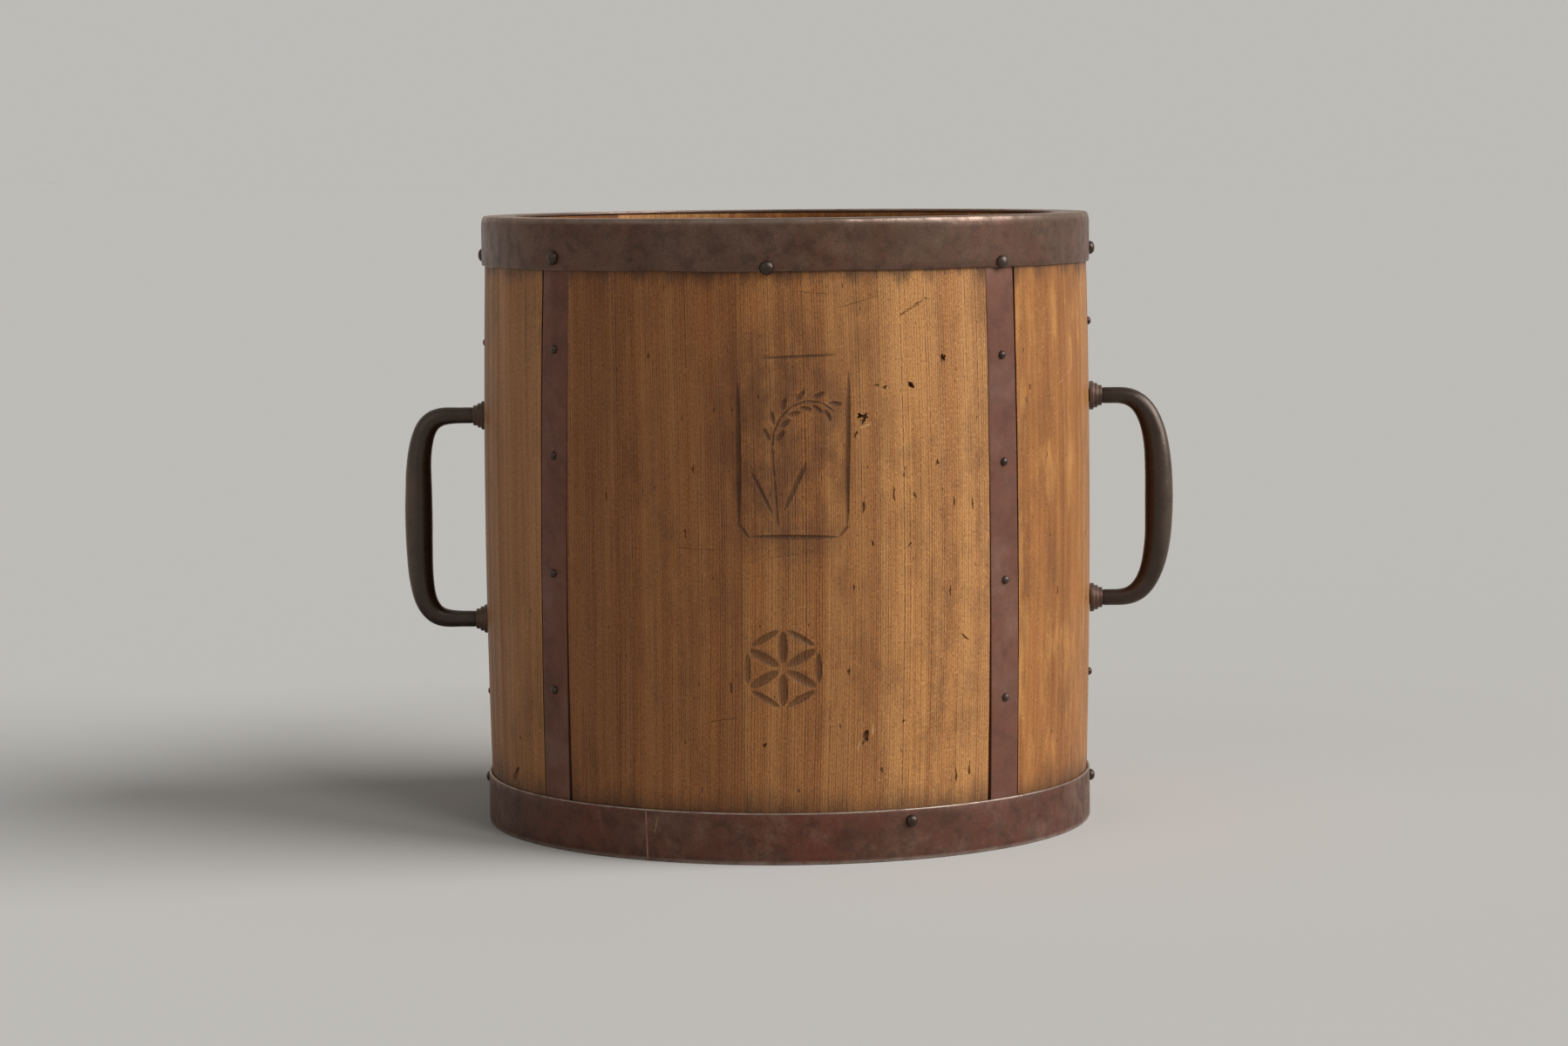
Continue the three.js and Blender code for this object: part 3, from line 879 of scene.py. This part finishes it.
def rosette():
    """Six lens-shaped chips round a point, and six that join their tips."""
    chips = []
    for i in range(PETALS):
        for reach, length, width, turn, tilt in ROSETTE_CHIPS:
            along = TAU * i / PETALS + turn
            x = ROSETTE_RADIUS * reach * sin(along)
            y = ROSETTE_RADIUS * reach * cos(along)
            sizes = (ROSETTE_RADIUS * length, width, ROSETTE_DEPTH)
            chips.append(carved_cut(ROSETTE_ANGLE, ROSETTE_HEIGHT, x, y, *sizes, degrees(along) + tilt))
    return chips


def torn_mark(chance, kind, angle, height, tilt, reach, count):
    """Short marks in a row that together make one long torn mark."""
    lean = radians(tilt)
    row = []
    for i in range(count):
        step = reach * (i / (count - 1) - 0.5)
        aside = degrees(step * MM * sin(lean) / WOOD_RADIUS)
        row.append((kind, angle + aside, height + step * cos(lean), tilt + chance.gauss(0, TORN_LEAN)))
    return row


def nicks():
    """The marks of use: those in front where they are seen, the rest scattered apart."""
    chance = random.Random(NICK_SEED)
    found = list(FRONT_NICKS)
    for mark in TORN_MARKS:
        found += torn_mark(chance, *mark)
    spots = []
    for i in range(STRAY_NICKS):
        kind = chance.choice(STRAY_KINDS)
        angle = chance.uniform(*STRAY_ANGLES)
        height = chance.uniform(*STRAY_HEIGHTS)
        tilt = chance.gauss(0, STRAY_LEAN)
        spot = Vector((radians(angle) * WOOD_RADIUS, height * MM))
        if all((spot - other).length > STRAY_ROOM for other in spots):
            spots.append(spot)
            found.append((kind, angle, height, tilt))
    made = []
    for kind, angle, height, tilt in found:
        *sizes, soil = NICK_KINDS[kind]
        sizes = [size * chance.uniform(*NICK_SIZES) for size in sizes]
        made.append(carved_cut(radians(angle), height * MM, 0, 0, *sizes, tilt, NICK_RAGGED, soil))
    return made


def groove(bm, node):
    """Adds what is cut out of the wall for a strap; its gap opens to the front below."""
    where = place_of(node)
    lean = lean_of(node)
    half = (where.last - where.first - abs(lean)) / 2 + GROOVE_GAP / WOOD_RADIUS
    levels = levels_between(-GROOVE_PAST, HEIGHT + GROOVE_PAST, GROOVE_ROWS)
    to_right = copysign(1, sin(where.angle))

    def turn(point):
        rise = point.z / HEIGHT - 0.5
        aside = to_right * between_angles(where.angle, angle_of(point))
        near_front = (half - aside) / (2 * half)
        shift = GROOVE_LEAN * 2 * rise - GROOVE_OPEN * near_front * max(0, -2 * rise)
        chips = GROOVE_CHIPS * noise.noise(point / GROOVE_CHIP_SIZE)
        return lean * rise + (to_right * shift + chips) / WOOD_RADIUS

    shape = wall_band(
        where, half, levels, lambda z: wood_radius(z) - IRON - FIT, lambda z: HOOP_RADIUS + IRON, steps=12
    )
    turned_by(shape, turn)
    part = bpy.data.meshes.new("groove")
    shape.to_mesh(part)
    shape.free()
    bm.from_mesh(part)
    bpy.data.meshes.remove(part)


def countersink(bm, node):
    """Adds the hollow inside the wall where a handle's end is hammered over."""
    deep = PEEN_DEPTH + FIT + SINK_PAST
    middle = facing_out(place_of(node).angle, INNER_RADIUS - SINK_PAST + deep / 2, level_of(node))
    ops.create_cone(
        bm, cap_ends=True, segments=24, radius1=PEEN_RADIUS + 2 * FIT, radius2=TANG_RADIUS, depth=deep,
        matrix=middle,
    )


# Staves

STAVE_STEP = radians(1.1)
STAVE_ROWS = 88
CROZE_DEPTH = 4.5 * MM
JOINT_EASE = 0.14 * MM
JOINT_LEFT_OPEN = 0.01 * MM
PLANED = (0.16 * MM, 45 * MM)
GRAIN_SHIFT = 0.41
STRAP_REACH = 16 * MM
FITTING_SOIL = 0.75
FLAT_SAWN = ("stave_right_front", "stave_left_rear", "stave_rear_middle")
# How much darker a stave is: those in front as seen, darker to the left partly by their own tone and partly
# as painted shade; the rest by chance
STAVE_TONES_AND_SHADE = {
    "stave_front_left": 0.7, "stave_front_middle": 0.5, "stave_front_right": 0.2, "stave_right_front": 0.1,
}
OTHER_TONES = (0.1, 0.5)
TONE_SEED = 5


def lay_grain(bm, where, index, stave_tone_and_shade, soil):
    """A UV map in metres unrolled round the tub, and a stave's tone (in front partly painted shade) and
    dirt.
    """
    grain = bm.loops.layers.uv.new("grain")
    tones = bm.faces.layers.float.new("tone")
    soils = bm.faces.layers.float.new("soil")
    torn = bm.faces.layers.float.new("torn")
    for face in bm.faces:
        face[tones] = stave_tone_and_shade
        face[soils] = max(soil, 0)
        face[torn] = max(-soil, 0)
        for loop in face.loops:
            turn = between_angles(where.angle, angle_of(loop.vert.co))
            across = turn * WOOD_RADIUS + WOOD_RADIUS - radius_of(loop.vert)
            loop[grain].uv = (across + GRAIN_SHIFT * index, loop.vert.co.z)


def stave(node, index, stave_tone_and_shade):
    """One stave: a turned section, its long outer edges eased, its face hand planed."""
    where = place_of(node)
    bm = bmesh.new()
    croze = INNER_RADIUS + CROZE_DEPTH
    face = [(wood_radius(z), z) for z in levels_between(0, STAVE_TOP - IRON, STAVE_ROWS)]
    profile = [
        (INNER_RADIUS, 0), *face, (WOOD_RADIUS - IRON, STAVE_TOP), (INNER_RADIUS, STAVE_TOP),
        (INNER_RADIUS, FLOOR_TOP + FIT), (croze, FLOOR_TOP + FIT), (croze, FLOOR_UNDER - FIT),
        (INNER_RADIUS, FLOOR_UNDER - FIT),
    ]
    closed = (FIT / 2 - JOINT_LEFT_OPEN) / WOOD_RADIUS
    first = where.first - closed
    width = where.last + closed - first
    edges = loop_of(bm, [on_tub(first, r, z) for r, z in profile])
    tall = [e for e in edges if e.calc_length() > HEIGHT / 2]
    ops.subdivide_edges(bm, edges=tall, cuts=STAVE_ROWS)
    spun(bm, list(bm.edges), width, round(width / STAVE_STEP))
    fill_ends(bm)
    joints = corner_edges(bm, where=lambda v: radius_of(v) > wood_radius(v.co.z) - FIT)
    eased(bm, [e for e in joints if e.verts[0].co.z != e.verts[1].co.z], JOINT_EASE)
    worked(bm, *PLANED, index)
    lay_grain(bm, where, index, stave_tone_and_shade, 0.0)
    piece = made_object(bm, node + "_board", FLAT_WOOD if node in FLAT_SAWN else QUARTER_WOOD)
    dressed(piece, node)
    return piece


def build_staves():
    """All staves, cut for the irons, carved in front and nicked by use."""
    chance = random.Random(TONE_SEED)
    washers = [washer_name(side, end) for side in SIDES for end in ENDS]
    cuts = rice_ear() + rosette() + nicks()
    for index, node in enumerate(STAVES):
        stave_tone_and_shade = STAVE_TONES_AND_SHADE.get(node, chance.uniform(*OTHER_TONES))
        piece = stave(node, index, stave_tone_and_shade)
        where = place_of(node)
        reach = (where.last - where.first) / 2

        def near(angle, breadth):
            return abs(between_angles(where.angle, angle)) < reach + breadth / WOOD_RADIUS

        fittings = bmesh.new()
        for strap_node in STRAPS:
            if near(place_of(strap_node).angle, STRAP_REACH):
                groove(fittings, strap_node)
        for washer_node in washers:
            if near(place_of(washer_node).angle, 0):
                countersink(fittings, washer_node)
        cutters = [(fittings, FITTING_SOIL)]
        for cut in cuts:
            if near(cut.angle, abs(cut.length * sin(cut.tilt)) + cut.width):
                cutter = bmesh.new()
                stroke(cutter, cut, wood_radius)
                cutters.append((cutter, cut.soil))
        for cutter, soil in cutters:
            if cutter.faces:
                lay_grain(cutter, where, index, stave_tone_and_shade, soil)
                carve(piece, made_object(cutter, "cutter", piece.data.materials[0]))


# Hoops and straps

HOOP_STEPS = 240
HOOP_ROWS = 5
HAMMERED = (0.3 * MM, 50 * MM)
BAND_LEAST = 10 * MM
EDGE_EASE = 0.35 * MM
SHOULDER_TALL = 5.5 * MM
SHOULDER_DEEP = 1.7 * MM
SHOULDER_STEPS = 8
SKIRT_EASE = (1.0 * MM, 3)
SKIRT_WAVE = 0.5 * MM
SKIRT_WAVE_SIZE = 25 * MM
SKIRT_WAVE_REACH = 10 * MM
RIM_SEED = 31
FOOT_SEED = 57
FOOT_EASE = 0.7 * MM
# The seam of the foot hoop and a scratch beside it
SEAM = Cut(
    angle=radians(-24.2), height=FOOT_TOP / 2, length=FOOT_TOP * 1.6, width=1.1 * MM, depth=0.6 * MM,
    tilt=radians(-2), rough=0.0, soil=0.0,
)
SCRATCH = Cut(
    angle=radians(-22.3), height=FOOT_TOP * 0.72, length=9 * MM, width=0.7 * MM, depth=0.2 * MM,
    tilt=radians(14), rough=NICK_RAGGED, soil=0.0,
)
STRAP_ROWS = 60
STRAP_WORK = (0.2 * MM, 30 * MM)
STRAP_SEEDS = 5


def hammered(bm, seed):
    """A hoop's band in rows of points, uneven from the hammer."""
    tall = [e for e in bm.edges if abs(e.verts[0].co.z - e.verts[1].co.z) > BAND_LEAST]
    ops.subdivide_edges(bm, edges=tall, cuts=HOOP_ROWS, use_grid_fill=True)
    worked(bm, *HAMMERED, seed)


def rim_hoop():
    """The rim hoop: a turned angle section with a rolled shoulder and an uneven skirt."""
    mouth = INNER_RADIUS + FIT
    under = HEIGHT - IRON
    profile = [(HOOP_INNER, RIM_SKIRT), (HOOP_RADIUS, RIM_SKIRT)]
    for turn in levels_between(0, pi / 2, SHOULDER_STEPS):
        radius = HOOP_RADIUS - SHOULDER_DEEP * (1 - cos(turn))
        profile.append((radius, HEIGHT - SHOULDER_TALL * (1 - sin(turn))))
    profile += [(mouth, HEIGHT), (mouth, under), (HOOP_INNER, under)]
    bm = lathed(loop_of, profile, HOOP_STEPS)
    eased(bm, corner_edges(bm, where=lambda v: radius_of(v) < mouth + FIT), EDGE_EASE)
    skirt = corner_edges(bm, where=lambda v: v.co.z < RIM_SKIRT + FIT and radius_of(v) > HOOP_RADIUS - FIT)
    eased(bm, skirt, *SKIRT_EASE)
    hammered(bm, RIM_SEED)
    for vert in bm.verts:
        low = max(0, 1 - (vert.co.z - RIM_SKIRT) / SKIRT_WAVE_REACH)
        vert.co.z += low * SKIRT_WAVE * (noise.noise(vert.co / SKIRT_WAVE_SIZE) + 0.5)
    piece = made_object(bm, "rim_hoop_iron", RIM_IRON)
    dressed(piece, "rim_hoop")


def foot_hoop():
    """The foot hoop: a plain band with worn edges and a seam where its ends meet."""
    profile = [(HOOP_INNER, 0), (HOOP_RADIUS, 0), (HOOP_RADIUS, FOOT_TOP), (HOOP_INNER, FOOT_TOP)]
    bm = lathed(loop_of, profile, HOOP_STEPS)
    eased(bm, corner_edges(bm), FOOT_EASE)
    hammered(bm, FOOT_SEED)
    piece = made_object(bm, "foot_hoop_iron", FOOT_IRON)
    for cut in (SEAM, SCRATCH):
        cutter = bmesh.new()
        stroke(cutter, cut, lambda z: HOOP_RADIUS)
        carve(piece, made_object(cutter, "cutter", SEAM_IRON))
    dressed(piece, "foot_hoop")


def strap(node):
    """An upright strap that follows the wall, its edges eased."""
    where = place_of(node)
    lean = lean_of(node)
    half = (where.last - where.first - abs(lean)) / 2
    levels = levels_between(where.low, where.high, STRAP_ROWS)
    bm = wall_band(where, half, levels, lambda z: wood_radius(z) - IRON, wood_radius, steps=10)
    eased(bm, corner_edges(bm, where=lambda v: radius_of(v) > wood_radius(v.co.z) - IRON / 2), EDGE_EASE)
    turned_by(bm, lambda point: lean * (point.z / HEIGHT - 0.5))
    worked(bm, *STRAP_WORK, where.angle * STRAP_SEEDS)
    piece = made_object(bm, node + "_iron", STRAP_IRON)
    dressed(piece, node)


# Nails, washers and handles; a higher power makes a handle's bow squarer

NAIL_SPREAD = 1.12
NAIL_SHANK = 0.36
NAIL_SUNK = -0.1 * MM
NAIL_DOME = ((1, 0.22), (0.9, 0.52), (0.68, 0.8), (0.36, 0.96))
NAIL_APART = (2.9, 1.7, 0.6)
BATTERED = 0.06
BATTERED_SIZE = 1.6
BATTERED_FROM = 0.2
LEG_RADIUS = 4.3 * MM
TANG_RADIUS = 3.5 * MM
PEEN_RADIUS = 5.5 * MM
PEEN_DEPTH = 2.4 * MM
# The peen's end: distances from the inner wall and shares of the peen's radius
PEEN_END = ((-0.5 * MM, 0.6), (-0.1 * MM, 0.9), (0.5 * MM, 1.0))
LEG_EASE = 1.2 * MM
LEG_START = 0.94
GRIP_RADIUS = 7.5 * MM
BOW_REACH = 24 * MM
BOW_POWER = {"right": 2.8, "left": 4}
BOW_RINGS = 36
BAR_SIDES = 28
BAR_FLATNESS = 0.92
FORGED = 0.14 * MM
FORGED_SIZE = 12 * MM
FORGED_SEED = 3
WASHER_BORE = TANG_RADIUS + FIT
WASHER_RINGS = ((3.8 * MM, 2.1 * MM), (2.7 * MM, 2.1 * MM), (1.6 * MM, 2.3 * MM))
WASHER_EASE = (0.5 * MM, 3)


def nail(node, index):
    """A nail: shank, and a domed head that the hammer left a little uneven."""
    where = place_of(node)
    low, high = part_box(node)
    head = NAIL_SPREAD * (high[2] - low[2]) / 2
    middle = level_of(node)
    seat = wood_radius(middle) if node.startswith("strap") else HOOP_RADIUS
    dome = where.outer - seat
    tip = where.inner - seat
    shank = head * NAIL_SHANK
    profile = [(0, tip), (shank / 2, tip), (shank, tip / 2), (shank, NAIL_SUNK), (head, NAIL_SUNK)]
    profile += [(head * wide, dome * tall) for wide, tall in NAIL_DOME]
    profile.append((0, dome))
    bm = lathed(line_of, profile, steps=28)
    shift = apart(index, NAIL_APART)
    for vert in bm.verts:
        dent = noise.noise(vert.co / (BATTERED_SIZE * head) + shift) - BATTERED_FROM
        vert.co.xy *= 1 + BATTERED * min(0, dent)
    ops.transform(bm, matrix=facing_out(where.angle, seat, middle), verts=bm.verts)
    piece = made_object(bm, node + "_iron", NAIL_IRON, ROUND_SHARP)
    dressed(piece, node)


def washer(node):
    """A washer in three rings, each smaller than the one below."""
    seat = min(abs(corner[0]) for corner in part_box(node))
    profile = [(WASHER_BORE, 0)]
    base = 0
    for wall, tall in WASHER_RINGS:
        profile += [(WASHER_BORE + wall, base), (WASHER_BORE + wall, base + tall)]
        base += tall
    profile.append((WASHER_BORE, base))
    bm = lathed(loop_of, profile, steps=40)
    narrowest = WASHER_BORE + WASHER_RINGS[-1][0] - FIT
    outer = corner_edges(bm, where=lambda v: radius_of(v) > narrowest and v.co.z > FIT)
    eased(bm, outer, *WASHER_EASE)
    ops.transform(bm, matrix=facing_out(place_of(node).angle, seat, level_of(node)), verts=bm.verts)
    piece = made_object(bm, node + "_iron", WASHER_IRON)
    dressed(piece, node)


def bar_frame(angle, middle, out, z, radius, lean):
    """The frame of one ring of a handle's bar, scaled to its radius there."""
    aside = Vector((1, 0, 0))
    across = Vector((0, sin(lean), cos(lean)))
    along = aside.cross(across)
    ring = Matrix((aside * radius * BAR_FLATNESS, across * radius, along)).transposed().to_4x4()
    return facing_out(angle, 0, middle) @ Matrix.Translation((0, z, out)) @ ring


def bar_half(side, end, leg):
    """Half a bar from its peen to the middle of its grip: each ring's out, height, radius, lean."""
    shoulder = max(abs(corner[0]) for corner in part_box(washer_name(side, end)))
    grip_out = max(abs(corner[0]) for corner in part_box("handle_" + side)) - GRIP_RADIUS
    swell = GRIP_RADIUS - FORGED - LEG_RADIUS
    power = BOW_POWER[side]
    square = pi / 2
    half = [(INNER_RADIUS + out, leg, PEEN_RADIUS * share, square) for out, share in PEEN_END]
    half += [
        (INNER_RADIUS + PEEN_DEPTH, leg, TANG_RADIUS, square),
        (shoulder, leg, TANG_RADIUS, square),
        (shoulder, leg, LEG_RADIUS * LEG_START, square),
        (shoulder + LEG_EASE, leg, LEG_RADIUS, square),
    ]
    for share in levels_between(0, 1, BOW_RINGS):
        turn = square * (1 - share)
        scale = (cos(turn) ** power + sin(turn) ** power) ** (-1 / power)
        across = scale * cos(turn)
        up = scale * sin(turn)
        lean = atan2(up ** (power - 1) / leg, across ** (power - 1) / BOW_REACH)
        radius = LEG_RADIUS + swell * share * share * (3 - 2 * share)
        half.append((grip_out - BOW_REACH + BOW_REACH * across, leg * up, radius, lean))
    return half


def handle(side):
    """A handle: one bar from its upper end, through tang, leg and bow, to its lower end."""
    node = "handle_" + side
    upper = level_of(washer_name(side, "upper"))
    lower = level_of(washer_name(side, "lower"))
    angle = place_of(washer_name(side, "upper")).angle
    leg = (upper - lower) / 2
    middle = (upper + lower) / 2
    below = [(out, -z, radius, -lean) for out, z, radius, lean in bar_half(side, "lower", leg)[-2::-1]]
    frames = [bar_frame(angle, middle, *station) for station in bar_half(side, "upper", leg) + below]
    turns = [TAU * i / BAR_SIDES for i in range(BAR_SIDES)]
    bm = bmesh.new()
    swept(bm, [(cos(turn), sin(turn)) for turn in turns], frames)
    noise.seed_set(FORGED_SEED)
    for vert in bm.verts:
        vert.co += FORGED * noise.noise_vector(vert.co / FORGED_SIZE)
    piece = made_object(bm, node + "_bar", HANDLE_IRON, ROUND_SHARP)
    dressed(piece, node)


# Bottom

BOARD_LAP = 8 * MM
BOARD_EASE = 0.5 * MM


def pulled(bm, faces, rise):
    """Faces drawn up or down into a block."""
    made = ops.extrude_face_region(bm, geom=faces)["geom"]
    ops.translate(bm, vec=(0, 0, rise), verts=[g for g in made if isinstance(g, bmesh.types.BMVert)])


def faces_at(bm, z):
    """The level faces at a height."""
    return [f for f in bm.faces if all(abs(v.co.z - z) < CLOSE for v in f.verts)]


def board(node, side):
    """One bottom board: half a disc with a lip; side -1 is in front, with its lip above."""
    bm = bmesh.new()
    middle = (FLOOR_UNDER + FLOOR_TOP) / 2
    lip_end = FLOOR_TOP if side < 0 else FLOOR_UNDER
    far_end = FLOOR_UNDER if side < 0 else FLOOR_TOP
    lip = -side * (BOARD_LAP - FIT) / 2
    shoulder = side * (BOARD_LAP + FIT) / 2
    at = Matrix.Translation((0, 0, lip_end))
    ops.create_circle(bm, cap_ends=True, radius=FLOOR_RADIUS, segments=180, matrix=at)
    disc = bm.verts[:] + bm.edges[:] + bm.faces[:]
    ops.bisect_plane(bm, geom=disc, plane_co=(0, lip, 0), plane_no=(0, -side, 0), clear_outer=True)
    pulled(bm, bm.faces[:], middle - lip_end)
    outward(bm)
    inner = faces_at(bm, middle)
    region = inner + once(e for f in inner for e in f.edges) + once(v for f in inner for v in f.verts)
    ops.bisect_plane(bm, geom=region, plane_co=(0, shoulder, 0), plane_no=(0, side, 0))
    past = [f for f in faces_at(bm, middle) if side * (f.calc_center_median().y - shoulder) > 0]
    pulled(bm, past, far_end - middle)
    outward(bm)
    eased(bm, corner_edges(bm, where=lambda v: v.co.z > FLOOR_TOP - CLOSE), BOARD_EASE)
    piece = made_object(bm, node + "_wood", BOARD_WOOD)
    dressed(piece, node)


# Studio

CAMERA_AT = (0.0851, -2.0915, 0.3501)
CAMERA_TURN = radians(2.382)
CAMERA_PITCH = radians(5.321)
CAMERA_ROLL = radians(-0.49)
CAMERA_LENS = 90.91
CAMERA_SENSOR = 36
PALE = (0.61, 0.596, 0.568, 1)
SEEN_PALE = (0.51, 0.497, 0.472, 1)
AMBIENT = 0.19
AMBIENT_TONE = (1, 0.985, 0.96, 1)
STUDIO_ROUGH = 0.7
LAMP_REACH = 3
# Each lamp: azimuth and elevation in degrees, level and spread in degrees
LAMPS = {"key": (80, 32, 1.0, 48), "front": (36, 40, 0.14, 16), "fill": (-38, 28, 0.06, 50)}


def add_camera():
    data = bpy.data.cameras.new("photograph")
    data.sensor_width = CAMERA_SENSOR
    data.lens = CAMERA_LENS
    camera = linked("photograph", data)
    turned = Matrix.Rotation(CAMERA_TURN, 4, "Z") @ Matrix.Rotation(pi / 2 - CAMERA_PITCH, 4, "X")
    camera.matrix_world = Matrix.Translation(CAMERA_AT) @ turned @ Matrix.Rotation(CAMERA_ROLL, 4, "Z")
    bpy.context.scene.camera = camera


def add_lamp(name, azimuth, elevation, level, spread):
    """A broad distant lamp; level is what it adds to a surface that faces it."""
    data = bpy.data.lights.new(name, "SUN")
    data.energy = level * pi
    data.angle = radians(spread)
    lamp = linked(name, data)
    flat = cos(radians(elevation))
    at = on_tub(radians(azimuth), flat, sin(radians(elevation)))
    turned = at.to_track_quat("Z", "Y").to_matrix().to_4x4()
    lamp.matrix_world = Matrix.Translation(LAMP_REACH * at) @ turned


def add_world():
    """A pale surround that lights softly and is seen as pale as the floor."""
    world = bpy.data.worlds.new("studio")
    world.use_nodes = True
    tree = world.node_tree
    path = placed(tree, "LightPath").outputs
    straight = calc("MAXIMUM", path["Is Camera Ray"], path["Is Glossy Ray"])
    straight = calc("MAXIMUM", straight, path["Is Transmission Ray"])
    light, seen = (placed(tree, "Background") for i in range(2))
    fed(light, {"Color": AMBIENT_TONE, "Strength": AMBIENT})
    fed(seen, {"Color": SEEN_PALE, "Strength": 1.0})
    both = put("MixShader", {0: straight, 1: light.outputs[0], 2: seen.outputs[0]})
    fed(tree.nodes["World Output"], {"Surface": both.outputs[0]})
    bpy.context.scene.world = world


def add_studio():
    """A pale floor and soft lamps, the strongest from the right."""
    material, shader = new_material("studio_floor")
    fed(shader, {"Base Color": PALE, "Roughness": STUDIO_ROUGH, "Specular IOR Level": 0.0})
    bm = bmesh.new()
    ops.create_circle(bm, cap_ends=True, radius=60, segments=96)
    made_object(bm, "studio_floor", material)
    add_world()
    for name, lamp in LAMPS.items():
        add_lamp(name, *lamp)


add_camera()
add_studio()
build_staves()
rim_hoop()
foot_hoop()
for strap_name in STRAPS:
    strap(strap_name)
for side_name in SIDES:
    handle(side_name)
    for end_name in ENDS:
        washer(washer_name(side_name, end_name))
for nail_index, nail_name in enumerate(NAILS):
    nail(nail_name, nail_index)
board("bottom_board_front", -1)
board("bottom_board_rear", 1)

bpy.context.scene.view_settings.view_transform = "Standard"
